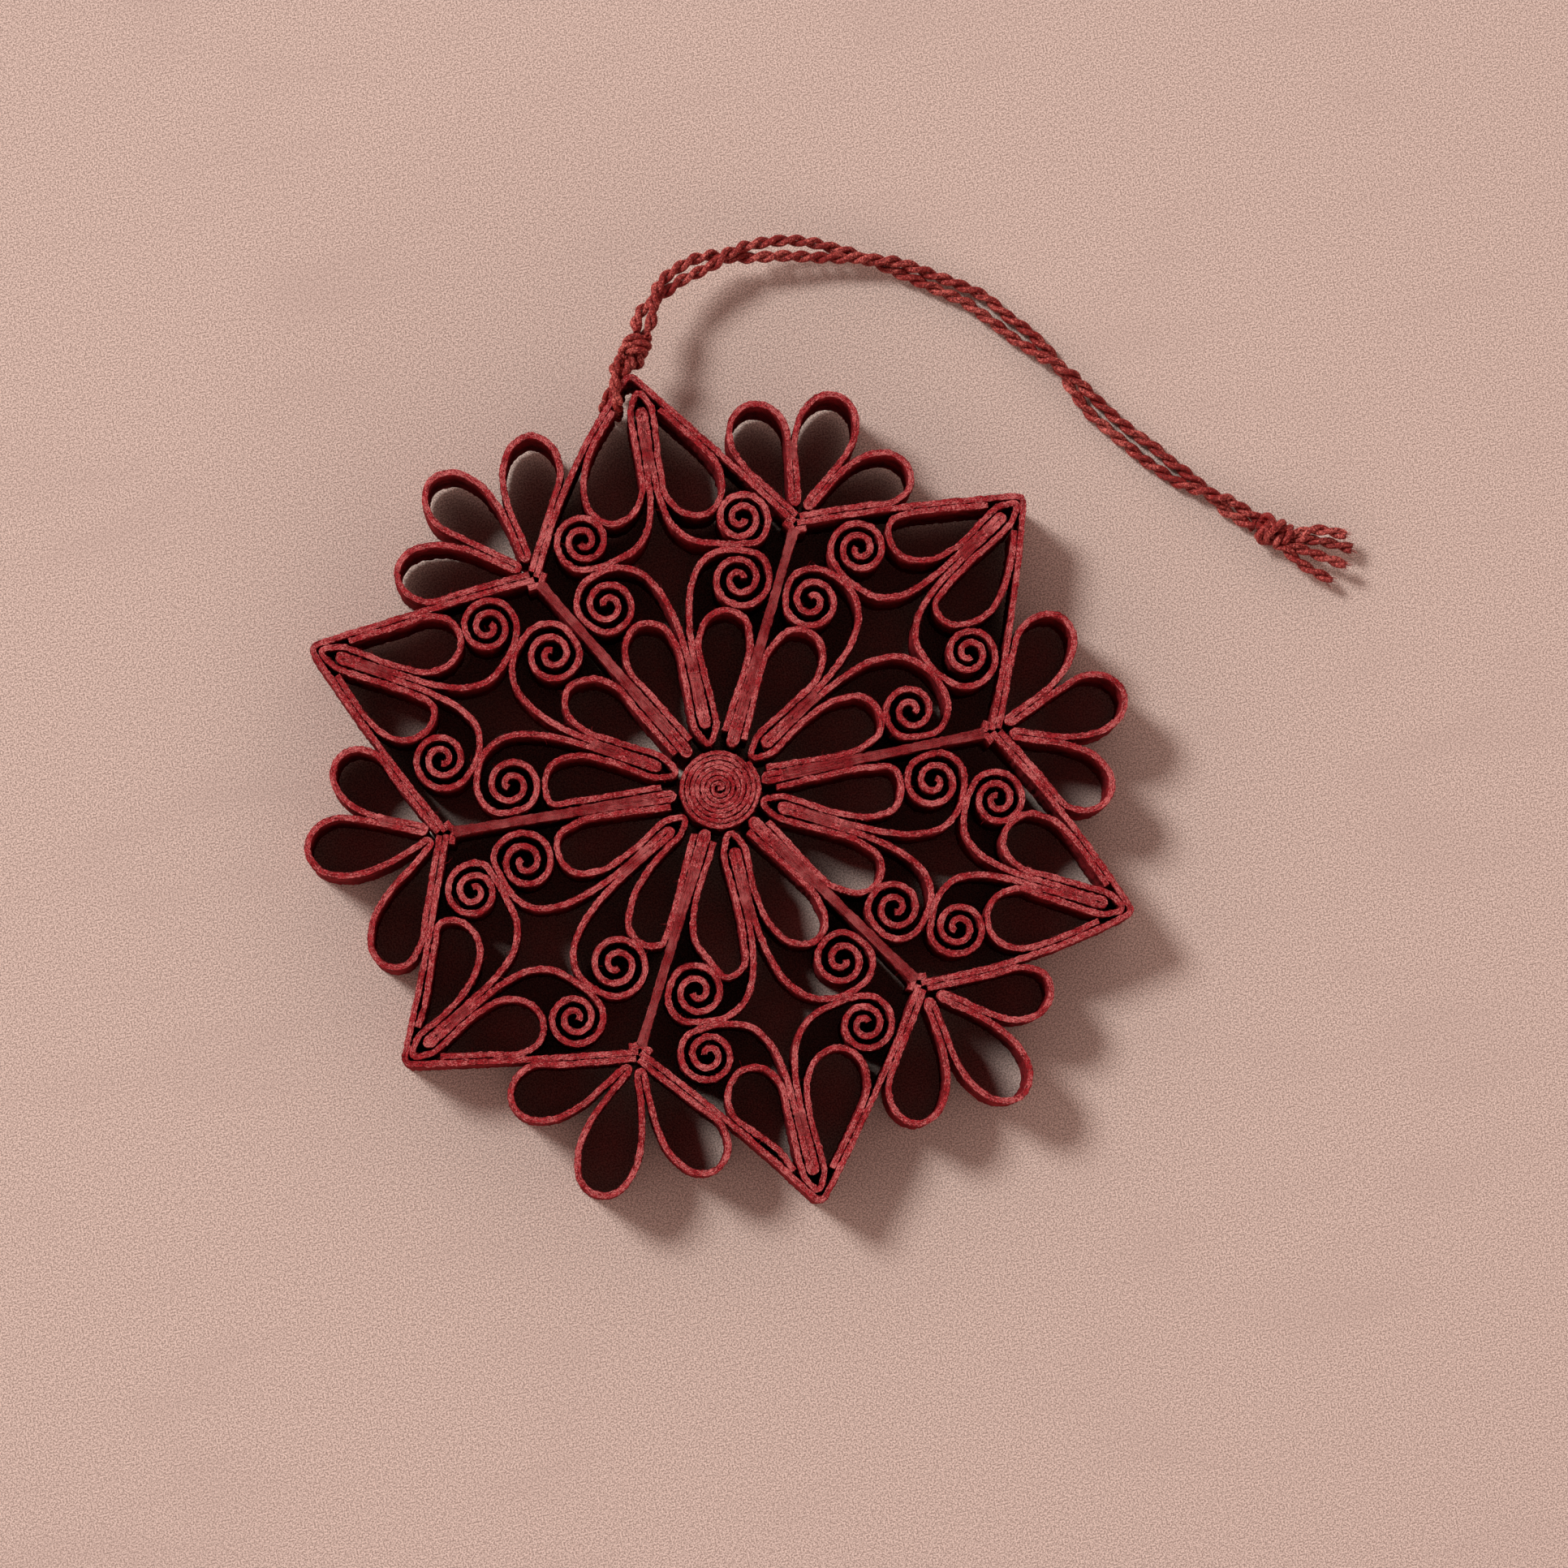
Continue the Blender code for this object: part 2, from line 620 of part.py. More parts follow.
def plain_material(name, color, roughness):
    material = bpy.data.materials.new(name)
    material.use_nodes = True
    shader = material.node_tree.nodes["Principled BSDF"]
    shader.inputs["Base Color"].default_value = (*color, 1)
    shader.inputs["Roughness"].default_value = roughness
    shader.inputs["Metallic"].default_value = 0.0
    material.diffuse_color = (*color, 1)
    return material


def add(name, data, collection, material):
    piece = bpy.data.objects.new(name, data)
    collection.objects.link(piece)
    data.materials.append(material)
    return piece


def strip(name, line, collection, material, paper=PAPER):
    """A paper strip standing on its edge along a line."""
    mesh = bpy.data.meshes.new(name)
    work = bmesh.new()
    low = [work.verts.new((p.x, p.y, 0)) for p in line]
    edges = [work.edges.new(pair) for pair in zip(low, low[1:])]
    grown = bmesh.ops.extrude_edge_only(work, edges=edges)["geom"]
    high = [v for v in grown if isinstance(v, bmesh.types.BMVert)]
    bmesh.ops.translate(work, verts=high, vec=(0, 0, STRIP_DEPTH))
    work.to_mesh(mesh)
    work.free()
    piece = add(name, mesh, collection, material)
    thickness = piece.modifiers.new("paper", "SOLIDIFY")
    thickness.thickness = paper
    thickness.offset = 0
    thickness.use_even_offset = True
    return piece


def smooth_route(points, count):
    """Evenly spaced points on a smooth curve through the route's own points."""
    ends = [points[0] * 2 - points[1]] + points + [points[-1] * 2 - points[-2]]
    fine = []
    for a, b, c, d in zip(ends, ends[1:], ends[2:], ends[3:]):
        for i in range(20):
            t = i / 20
            curve = b * 2 + (c - a) * t + (a * 2 - b * 5 + c * 4 - d) * t**2
            fine.append((curve + (b * 3 - a - c * 3 + d) * t**3) / 2)
    fine.append(points[-1])
    lengths = [0.0]
    for a, b in zip(fine, fine[1:]):
        lengths.append(lengths[-1] + (b - a).length)
    route = []
    j = 0
    for i in range(count):
        wanted = lengths[-1] * i / (count - 1)
        while j < len(fine) - 2 and lengths[j + 1] < wanted:
            j += 1
        share = (wanted - lengths[j]) / (lengths[j + 1] - lengths[j])
        route.append(fine[j].lerp(fine[j + 1], share))
    return route


def tube(name, points, diameter, collection, material):
    data = bpy.data.curves.new(name, "CURVE")
    data.dimensions = "3D"
    data.bevel_depth = diameter / 2
    data.bevel_resolution = CORD_SIDES
    data.use_fill_caps = True
    spline = data.splines.new("POLY")
    spline.points.add(len(points) - 1)
    for point, p in zip(spline.points, points):
        point.co = (*p, 1)
    return add(name, data, collection, material)


def knot(name, centre, direction, length, radius, collection, material):
    """A knot as a turned body with a bulge for each turn of cord."""
    mesh = bpy.data.meshes.new(name)
    work = bmesh.new()
    profile = []
    for i in range(KNOT_PROFILE + 1):
        a = math.pi * i / KNOT_PROFILE
        bulge = 1 - KNOT_WAIST * math.cos(KNOT_TURNS * a) ** 2
        profile.append((radius * math.sin(a) ** 0.6 * bulge, 0, length / 2 * math.cos(a)))
    profile[0] = (0, 0, length / 2)
    profile[-1] = (0, 0, -length / 2)
    verts = [work.verts.new(p) for p in profile]
    for pair in zip(verts, verts[1:]):
        work.edges.new(pair)
    work.to_mesh(mesh)
    work.free()
    piece = add(name, mesh, collection, material)
    piece.location = centre
    piece.rotation_euler = direction.to_track_quat("Z", "Y").to_euler()
    turn = piece.modifiers.new("turn", "SCREW")
    turn.steps = KNOT_STEPS
    turn.render_steps = KNOT_STEPS
    turn.use_merge_vertices = True
    turn.merge_threshold = 0.00001
    return piece


def knot_axis(place, towards):
    return (Vector(towards) - Vector(place)).normalized()


def beside_knot(place, axis, reach, aside, up):
    """A point beyond a knot's end, off its axis to the right and upwards."""
    right = axis.cross(Vector((0, 0, 1))).normalized()
    middle = Vector(place) + axis * reach
    return middle + right * aside + right.cross(axis) * up


def loop_leg():
    """The tip that the cord holds, the direction of its left leg, and the inward one."""
    points = leg_points(CORD_SECTOR, LEFT)
    leg = (points[1] - points[0]).normalized()
    return points[0], leg, normal_of(leg)


def loop_seat(number):
    """How far from the tip a strand runs down inside the leg, and how far from the leg."""
    off = PAPER / 2 + GLUE_LINE + STRAND / 2
    return LOOP_START + LOOP_PITCH * number + off / math.tan(LOOP_SLANT), off


def loop_strand(number):
    """One strand from the knot over the star's left leg, down inside it, under it and back."""
    point, leg, inwards = loop_leg()
    along, off = loop_seat(number)
    side = PAPER / 2
    clear = GLUE_LINE + STRAND / 2
    corner = clear * math.sin(45 * DEG)
    back = LOOP_RETURNS[number]
    axis = knot_axis(CORD_ROUTE[0], TIP_KNOT_PLACE)
    reach = TIP_KNOT_LENGTH / 2 + LOOP_TO_KNOT
    line = [beside_knot(TIP_KNOT_PLACE, axis, reach, LOOP_STARTS[number], LOOP_LIFT)]
    crossing = point + leg * (LOOP_START + LOOP_PITCH * number)
    slant = leg * math.cos(LOOP_SLANT) + inwards * math.sin(LOOP_SLANT)
    for run in (-LOOP_RUN_UP, side / math.sin(LOOP_SLANT), (side + corner) / math.sin(LOOP_SLANT)):
        height = clear if run * math.sin(LOOP_SLANT) <= side else corner
        line.append(Vector((*(crossing + slant * run), STRIP_DEPTH + height)))
    for out, height in (
        (side + clear, STRIP_DEPTH),
        (side + clear, NOTCH_HEIGHT),
        (side + corner, NOTCH_HEIGHT - corner),
        (side, NOTCH_HEIGHT - clear),
        (-side, NOTCH_HEIGHT - clear),
        (-side - corner, NOTCH_HEIGHT - corner),
        (-side - clear, NOTCH_HEIGHT),
        (-side - clear, back - STRAND),
    ):
        line.append(Vector((*(point + leg * along + inwards * out), height)))
    aside = point + leg * LOOP_RETURN_PLACE[0] - inwards * LOOP_RETURN_PLACE[1]
    line.append(Vector((*aside, back)))
    line.append(beside_knot(TIP_KNOT_PLACE, axis, reach, *LOOP_ENDS[number]))
    return line


def tassel_line(number):
    axis = knot_axis(CORD_ROUTE[-1], END_KNOT_PLACE)
    aside = TASSEL_SPREAD * (2 * number - 3)
    start = beside_knot(END_KNOT_PLACE, axis, END_KNOT_LENGTH / 2 + CORD_TO_KNOT, 0, 0)
    right = axis.cross(Vector((0, 0, 1))).normalized()
    start += right * aside
    return [start, start + axis * TASSEL_STRAND, Vector(TASSEL_ENDS[number])]


def notch_cutter(collection):
    """A box across the lower edge of the star's left leg, where the cord's loop passes."""
    point, leg, inwards = loop_leg()
    width = LOOP_PITCH + STRAND + 2 * GLUE_LINE
    middle = point + leg * (loop_seat(0)[0] + loop_seat(1)[0]) / 2
    bpy.ops.mesh.primitive_cube_add(size=1, location=(middle.x, middle.y, 0))
    cutter = bpy.context.object
    cutter.name = "loop_notch"
    cutter.scale = (width, PAPER + 2 * GLUE_LINE, 2 * NOTCH_HEIGHT)
    cutter.rotation_euler.z = bearing(leg)
    for owner in list(cutter.users_collection):
        owner.objects.unlink(cutter)
    collection.objects.link(cutter)
    cutter.hide_render = True
    cutter.display_type = "WIRE"
    return cutter


def build():
    for thing in list(bpy.data.objects):
        bpy.data.objects.remove(thing, do_unlink=True)
    parts = bpy.data.collections.new("quilled_snowflake")
    cutters = bpy.data.collections.new("cutters")
    bpy.context.scene.collection.children.link(parts)
    bpy.context.scene.collection.children.link(cutters)
    paper = plain_material("red_paper", PAPER_COLOR, 0.9)
    cord = plain_material("red_cord", CORD_COLOR, 0.85)
    strip("hub_coil", hub_coil(), parts, paper, HUB_PAPER)
    for k in range(SECTORS):
        number = k + 1
        star = strip(f"star_point_{number}", star_point(k), parts, paper)
        if k == CORD_SECTOR:
            cut = star.modifiers.new("loop notch", "BOOLEAN")
            cut.operation = "DIFFERENCE"
            cut.solver = "EXACT"
            cut.object = notch_cutter(cutters)
        strip(f"spoke_{number}", spoke(k), parts, paper)
        strip(f"outer_petals_{number}", petal_pair(k, True), parts, paper)
        strip(f"outer_scrolls_{number}", scroll_pair(k, True), parts, paper)
        strip(f"inner_petals_{number}", petal_pair(k, False), parts, paper)
        strip(f"inner_scrolls_{number}", scroll_pair(k, False), parts, paper)
        strip(f"valley_loops_{number}", valley_loops(k), parts, paper)
    tube("cord_loop_right", loop_strand(0), STRAND, parts, cord)
    tube("cord_loop_left", loop_strand(1), STRAND, parts, cord)
    route = smooth_route([Vector(p) for p in CORD_ROUTE], CORD_POINTS)
    tube("hanging_cord", route, CORD_DIAMETER, parts, cord)
    axis = knot_axis(TIP_KNOT_PLACE, CORD_ROUTE[0])
    knot("tip_knot", TIP_KNOT_PLACE, axis, TIP_KNOT_LENGTH, TIP_KNOT_RADIUS, parts, cord)
    axis = knot_axis(CORD_ROUTE[-1], END_KNOT_PLACE)
    knot("end_knot", END_KNOT_PLACE, axis, END_KNOT_LENGTH, END_KNOT_RADIUS, parts, cord)
    for i in range(len(TASSEL_ENDS)):
        line = smooth_route(tassel_line(i), 6)
        tube(f"tassel_strand_{i + 1}", line, TASSEL_STRAND, parts, cord)


build()
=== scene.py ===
import math
import random

import bmesh
import bpy
from mathutils import Matrix, Vector, kdtree, noise


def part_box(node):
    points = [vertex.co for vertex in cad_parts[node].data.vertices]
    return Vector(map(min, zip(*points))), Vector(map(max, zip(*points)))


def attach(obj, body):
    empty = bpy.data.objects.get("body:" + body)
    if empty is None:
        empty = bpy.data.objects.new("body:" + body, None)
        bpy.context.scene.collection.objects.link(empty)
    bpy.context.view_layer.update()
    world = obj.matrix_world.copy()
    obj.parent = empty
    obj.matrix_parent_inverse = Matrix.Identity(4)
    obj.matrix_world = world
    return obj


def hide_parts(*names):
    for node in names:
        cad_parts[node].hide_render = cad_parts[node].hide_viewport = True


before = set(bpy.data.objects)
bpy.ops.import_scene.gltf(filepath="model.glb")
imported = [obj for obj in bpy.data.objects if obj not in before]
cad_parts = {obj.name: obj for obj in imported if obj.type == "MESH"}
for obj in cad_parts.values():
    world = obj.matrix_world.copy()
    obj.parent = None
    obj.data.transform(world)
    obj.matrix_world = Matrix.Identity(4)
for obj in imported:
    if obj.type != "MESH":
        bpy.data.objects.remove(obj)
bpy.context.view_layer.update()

mm = 0.001
deg = math.pi / 180
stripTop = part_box("hub_coil")[1][2]
chance = random.Random(12)
print("frame loaded")


def makeActive(thing):
    for other in bpy.context.selected_objects:
        other.select_set(False)
    thing.select_set(True)
    bpy.context.view_layer.objects.active = thing


def applyAll(thing):
    makeActive(thing)
    for modifier in list(thing.modifiers):
        bpy.ops.object.modifier_apply(modifier=modifier.name)


def joined(pieces, name):
    makeActive(pieces[0])
    for piece in pieces:
        piece.select_set(True)
    bpy.ops.object.join()
    result = bpy.context.object
    result.name = name
    result.data.name = name
    return result


def finished(piece, material, slot, *nodes):
    piece.data.materials.clear()
    piece.data.materials.append(material)
    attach(piece, "root")
    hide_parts(*nodes)
    return piece


# Shader sums are written as Python sums on this class
class Value:
    def __init__(self, tree, output):
        self.tree = tree
        self.output = output

    def combined(self, operation, other):
        return self.tree.node("ShaderNodeMath", {"operation": operation}, {0: self, 1: other})

    def __add__(self, other):
        return self.combined("ADD", other)

    def __mul__(self, other):
        return self.combined("MULTIPLY", other)

    __radd__ = __add__
    __rmul__ = __mul__


class Finish:
    def __init__(self, name, roughness, specular):
        self.material = bpy.data.materials.new(name)
        self.material.use_nodes = True
        self.nodes = self.material.node_tree.nodes
        self.links = self.material.node_tree.links
        self.shader = self.nodes["Principled BSDF"]
        self.shader.inputs["Roughness"].default_value = roughness
        self.shader.inputs["Specular IOR Level"].default_value = specular

    def node(self, kind, settings=None, inputs=None, output=0):
        node = self.nodes.new(kind)
        for key, value in (settings or {}).items():
            setattr(node, key, value)
        for key, value in (inputs or {}).items():
            if isinstance(value, Value):
                self.links.new(value.output, node.inputs[key])
            else:
                node.inputs[key].default_value = value
        return Value(self, node.outputs[output])

    def place(self, scale=(1, 1, 1)):
        spot = self.node("ShaderNodeTexCoord", output=3)
        return self.node("ShaderNodeMapping", {}, {"Vector": spot, "Scale": scale})

    def along(self, scale):
        # The strip's own coordinates: along it, across it and up
        spot = self.node("ShaderNodeAttribute", {"attribute_name": "grain"}, output=1)
        return self.node("ShaderNodeMapping", {}, {"Vector": spot, "Scale": scale})

    def cloud(self, size, detail=3.0, where=None, distortion=0.0):
        settings = {"Vector": where or self.place(), "Scale": 1 / size, "Detail": detail}
        settings["Distortion"] = distortion
        return self.node("ShaderNodeTexNoise", {}, settings)

    def mix(self, amount, first, second):
        color = [v if isinstance(v, Value) else (*v, 1) for v in (first, second)]
        inputs = {0: amount, 6: color[0], 7: color[1]}
        return self.node("ShaderNodeMix", {"data_type": "RGBA"}, inputs, 2)

    # 0 below the low value, 1 above the high one, and a soft step between
    def limited(self, amount, low, high):
        settings = {"interpolation_type": "SMOOTHSTEP"}
        return self.node("ShaderNodeMapRange", settings, {0: amount, 1: low, 2: high})

    # 0 on upright faces, 1 on level ones
    def faceUp(self, low, high):
        normal = self.node("ShaderNodeNewGeometry", output=1)
        upwards = self.node("ShaderNodeSeparateXYZ", {}, {0: normal}, 2)
        return self.limited(upwards, low, high)

    def finish(self, color, height, distance, strength=1.0):
        self.links.new(color.output, self.shader.inputs["Base Color"])
        bump = {"Height": height, "Distance": distance, "Strength": strength}
        normal = self.node("ShaderNodeBump", {}, bump)
        self.links.new(normal.output, self.shader.inputs["Normal"])
        return self.material


paperLook = {
    # pit: dark colour for the grain's low spots, partly painted shade in these hollows, and for
    # the dark lines along the top
    "pit": (0.110, 0.006, 0.008),
    "deep": (0.210, 0.009, 0.013),
    # side and edge: darker colours for upright faces and a paler one for the level top, partly
    # the paper's own and partly painted shade on the sides and painted light on the top
    "side": (0.520, 0.020, 0.029),
    "edge": (0.630, 0.047, 0.060),
    # pale fibre colour, also used as painted highlight on the top
    "paleFibreAndHighlight": (0.930, 0.265, 0.260),
    "roughness": 0.93,
    "specular": 0.10,
    "grain": 0.18 * mm,
    "mottle": 2.1 * mm,
    "streak": 1.1 * mm,
    "streaks": (0.7, 7.0, 3.0),  # how much faster the streaks change along, across and up
    "fleck": 0.21 * mm,
    "flecks": (0.7, 1.5, 1.5),
    "cutEdgeAndLitTop": (0.25, 0.85),  # how far a face turns up before it counts as the top, whose paler colour is partly the cut edge's own and partly painted light
    "pitDepth": 0.8,
    "lineDepth": 0.7,
    "topFlecksAndHighlight": 0.85,
    "sideFlecks": 0.06,
    "bump": 0.40 * mm,
}


def paperMaterial(name):
    look = paperLook
    paper = Finish(name, look["roughness"], look["specular"])
    grain = paper.cloud(look["grain"], 4.0, distortion=0.6)
    mottle = paper.cloud(look["mottle"], 3.0)
    streak = paper.cloud(look["streak"], 3.0, paper.along(look["streaks"]), 0.5)
    flecks = paper.cloud(look["fleck"], 3.0, paper.along(look["flecks"]), 1.0)
    # level tops take the paler edge colour and upright sides the darker ones: partly the cut
    # edge's own colour, partly painted light on the top and painted shade on the sides
    cutEdgeAndLitTop = paper.faceUp(*look["cutEdgeAndLitTop"])
    side = paper.mix(paper.limited(mottle, 0.3, 0.72), look["deep"], look["side"])
    # pale spots: a random share of the top takes the paler edge colour
    paleSpotsAndHighlight = paper.limited(mottle * 0.5 + streak * 0.5, 0.30, 0.62)
    base = paper.mix(cutEdgeAndLitTop, side, paper.mix(paleSpotsAndHighlight, look["side"], look["edge"]))
    # dark pits where the grain is low, the spots that the bump sinks: partly the paper's darker
    # specks, partly painted shade in these hollows
    pits = paper.limited(grain, 0.56, 0.34)
    base = paper.mix(pits * look["pitDepth"], base, look["pit"])
    lines = paper.limited(streak, 0.50, 0.34) * cutEdgeAndLitTop
    base = paper.mix(lines * look["lineDepth"], base, look["pit"])
    # pale fibre flecks, nearly all on the level top: partly the paper's own pale fibres, partly
    # painted highlight where light falls on the top
    share = cutEdgeAndLitTop * look["topFlecksAndHighlight"] + look["sideFlecks"]
    fibreAndHighlight = paper.limited(flecks + mottle * 0.5, 0.72, 0.88) * share
    base = paper.mix(fibreAndHighlight, base, look["paleFibreAndHighlight"])
    height = grain + streak * 1.4 + flecks * 1.2
    return paper.finish(base, height, look["bump"])


cordLook = {
    # deep: near-black painted shade of the grooves between the yarns
    "deep": (0.070, 0.002, 0.002),
    "yarn": (0.330, 0.016, 0.014),
    # pale colour of painted highlights on the yarns
    "paleSpotsAndHighlight": (0.900, 0.250, 0.205),
    "roughness": 0.42,
    "specular": 0.28,
    "grain": 0.15 * mm,
    "spots": 0.28 * mm,
    "drift": 2.2 * mm,
    # how much of the painted highlight is mixed in
    "highlightShare": 0.7,
    "bump": 0.1 * mm,
}


def cordMaterial(name):
    look = cordLook
    cord = Finish(name, look["roughness"], look["specular"])
    grain = cord.cloud(look["grain"], 3.0, distortion=0.8)
    spots = cord.cloud(look["spots"], 2.0)
    drift = cord.cloud(look["drift"], 2.0)
    # painted light and shade: random spots switch between the yarn colour, as lit yarn tops, and
    # the near-black deep colour, as painted shade in the grooves
    lit = cord.limited(grain * 0.65 + spots * 0.35, 0.34, 0.60)
    base = cord.mix(lit, look["deep"], look["yarn"])
    # painted highlight: pale spots at random on the yarns, standing in for lit yarn segments
    paleSpotsAndHighlight = cord.limited(grain * 0.45 + spots * 0.3 + drift * 0.25, 0.50, 0.60)
    base = cord.mix(paleSpotsAndHighlight * look["highlightShare"], base, look["paleSpotsAndHighlight"])
    return cord.finish(base, grain, look["bump"], 0.8)


paper = paperMaterial("red_paper")
yarn = cordMaterial("red_yarn")
print("materials made")

cameraSet = {
    "aim": Vector((7.93, -1.18, 9.5)) * mm,  # what the middle of the picture shows
    "distance": 0.6089,
    "sensor": 36,
    "lens": 113.5,
    "lean": 6.41 * deg,  # away from straight above
    "leanTowards": -123.5 * deg,
    "turn": 12.3 * deg,  # how far the ornament is turned in the picture
}


def addCamera():
    look = cameraSet
    data = bpy.data.cameras.new("camera")
    data.lens = look["lens"]
    data.sensor_width = look["sensor"]
    data.clip_start = 0.01
    data.clip_end = 20
    camera = bpy.data.objects.new("camera", data)
    bpy.context.scene.collection.objects.link(camera)
    flat = Vector((math.cos(look["leanTowards"]), math.sin(look["leanTowards"]), 0))
    back = flat * math.sin(look["lean"]) + Vector((0, 0, math.cos(look["lean"])))
    right = Vector((math.sin(look["turn"]), math.cos(look["turn"]), 0)).cross(back).normalized()
    up = back.cross(right)
    turned = Matrix((right, up, back)).transposed().to_4x4()
    place = look["aim"] + back * look["distance"]
    camera.matrix_world = Matrix.Translation(place) @ turned
    bpy.context.scene.camera = camera


lightSet = {
    "keyTowards": 131.5 * deg,
    "keyHeight": 43 * deg,
    "keyDistance": 4.0,
    "keySize": 1.1,
    "keyPower": 127,
    "keyColor": (1.0, 1.0, 0.98),
    "skyColor": (1.0, 0.73, 0.66),
    "skyBrightest": 1.46,
    # height in the sky and share of the brightest: dim overhead, where the deep gaps look up to
    "sky": ((0.0, 0.15), (0.22, 1.0), (0.45, 0.8), (0.85, 0.03)),
}


def addLight():
    look = lightSet
    data = bpy.data.lights.new("key", "AREA")
    data.shape = "DISK"
    data.size = look["keySize"]
    data.energy = look["keyPower"]
    data.color = look["keyColor"]
    lamp = bpy.data.objects.new("key", data)
    bpy.context.scene.collection.objects.link(lamp)
    flat = Vector((math.cos(look["keyTowards"]), math.sin(look["keyTowards"]), 0))
    ray = flat * math.cos(look["keyHeight"]) + Vector((0, 0, math.sin(look["keyHeight"])))
    lamp.location = ray * look["keyDistance"]
    lamp.rotation_euler = ray.to_track_quat("Z", "Y").to_euler()


def addSky():
    look = lightSet
    world = bpy.data.worlds.new("sky")
    bpy.context.scene.world = world
    world.use_nodes = True
    nodes = world.node_tree.nodes
    links = world.node_tree.links
    background = nodes["Background"]
    background.inputs["Color"].default_value = (*look["skyColor"], 1)
    spot = nodes.new("ShaderNodeTexCoord")
    split = nodes.new("ShaderNodeSeparateXYZ")
    ramp = nodes.new("ShaderNodeValToRGB")
    stops = ramp.color_ramp.elements
    stops.remove(stops[1])
    for number, (place, share) in enumerate(look["sky"]):
        stop = stops.new(place) if number else stops[0]
        stop.color = (share, share, share, 1)
    level = nodes.new("ShaderNodeMath")
    level.operation = "MULTIPLY"
    level.inputs[1].default_value = look["skyBrightest"]
    links.new(spot.outputs["Generated"], split.inputs[0])
    links.new(split.outputs["Z"], ramp.inputs["Fac"])
    links.new(ramp.outputs["Color"], level.inputs[0])
    links.new(level.outputs[0], background.inputs["Strength"])


floorLook = {
    "pale": (0.775, 0.617, 0.548),
    "dark": (0.340, 0.254, 0.220),
    "stain": (0.475, 0.361, 0.321),
    "grain": 0.20 * mm,
    "drift": 30 * mm,
    "brush": 12 * mm,
    "brushStretch": (0.5, 1.6, 0),
    "staining": 0.28,
    "bump": 0.1 * mm,
    "below": 0.02 * mm,  # so that the tabletop and the ornament share no face
    "dip": 0.95 * mm,
    "dipMiddle": Vector((-1, 38)) * mm,
    "dipFlat": 25 * mm,
    "dipReach": 60 * mm,
    "fineReach": 0.15,  # the part of the tabletop with a fine mesh
    "fineSteps": 50,
    "outerLines": (0.4, 1, 3),
}


# The ornament's upper edge stands a little off the tabletop, so the tabletop dips there
def floorHeight(x, y):
    look = floorLook
    away = (Vector((x, y)) - look["dipMiddle"]).length
    t = min(1.0, max(0.0, (away - look["dipFlat"]) / (look["dipReach"] - look["dipFlat"])))
    return -look["below"] - look["dip"] * (1 - t * t * (3 - 2 * t))


def addFloor():
    look = floorLook
    fine = look["fineSteps"]
    near = [look["fineReach"] * i / fine for i in range(-fine, fine + 1)]
    outer = look["outerLines"]
    lines = [-place for place in reversed(outer)] + near + list(outer)
    last = len(lines) - 1
    bpy.ops.mesh.primitive_grid_add(x_subdivisions=last, y_subdivisions=last, size=2)
    floor = bpy.context.object
    floor.name = "floor"
    for v in floor.data.vertices:
        x, y = (lines[round((c + 1) / 2 * last)] for c in v.co.xy)
        v.co = (x, y, floorHeight(x, y))
    bpy.ops.object.shade_smooth()
    tabletop = Finish("pale_tabletop", 0.9, 0.1)
    flat = tabletop.place((1, 1, 0))
    grain = tabletop.cloud(look["grain"], 3.0, flat)
    drift = tabletop.cloud(look["drift"], 4.0, flat)
    brush = tabletop.cloud(look["brush"], 5.0, tabletop.place(look["brushStretch"]), 0.4)
    base = tabletop.mix(tabletop.limited(grain, 0.35, 0.65), look["dark"], look["pale"])
    blotch = tabletop.limited(drift * 0.5 + brush * 0.5, 0.50, 0.68)
    base = tabletop.mix(blotch * look["staining"], base, look["stain"])
    floor.data.materials.append(tabletop.finish(base, grain, look["bump"], 0.3))


addCamera()
addLight()
addSky()
addFloor()
bpy.context.scene.view_settings.view_transform = "Standard"
print("camera and light set")


longestPull = 1.6  # how far a curve is pulled at a point, in lengths of the shorter stretch there


# A smooth curve through the points, that keeps its long straight runs
def eased(points, step, turnStep=None):
    lengths = [(b - a).length for a, b in zip(points, points[1:])]
    headings = []
    for i in range(len(points)):
        if i == 0:
            headings.append((points[1] - points[0]).normalized())
        elif i == len(points) - 1:
            headings.append((points[-1] - points[-2]).normalized())
        else:
            before = (points[i] - points[i - 1]).normalized() / lengths[i - 1]
            after = (points[i + 1] - points[i]).normalized() / lengths[i]
            headings.append((before + after).normalized())
    result = []
    for i, (a, b) in enumerate(zip(points, points[1:])):
        long = lengths[i]
        steps = max(1, math.ceil(long / step))
        if turnStep:
            steps = max(steps, math.ceil(headings[i].angle(headings[i + 1], 0.0) / turnStep))
        startPull = min(long, lengths[i - 1] * longestPull if i else long)
        endPull = min(long, lengths[i + 1] * longestPull if i < len(lengths) - 1 else long)
        m = headings[i] * startPull
        n = headings[i + 1] * endPull
        for j in range(steps):
            t = j / steps
            p = a * (2 * t ** 3 - 3 * t * t + 1) + m * (t ** 3 - 2 * t * t + t)
            result.append(p + b * (3 * t * t - 2 * t ** 3) + n * (t ** 3 - t * t))
    result.append(points[-1])
    return result


def routeLength(points):
    return sum((b - a).length for a, b in zip(points, points[1:]))


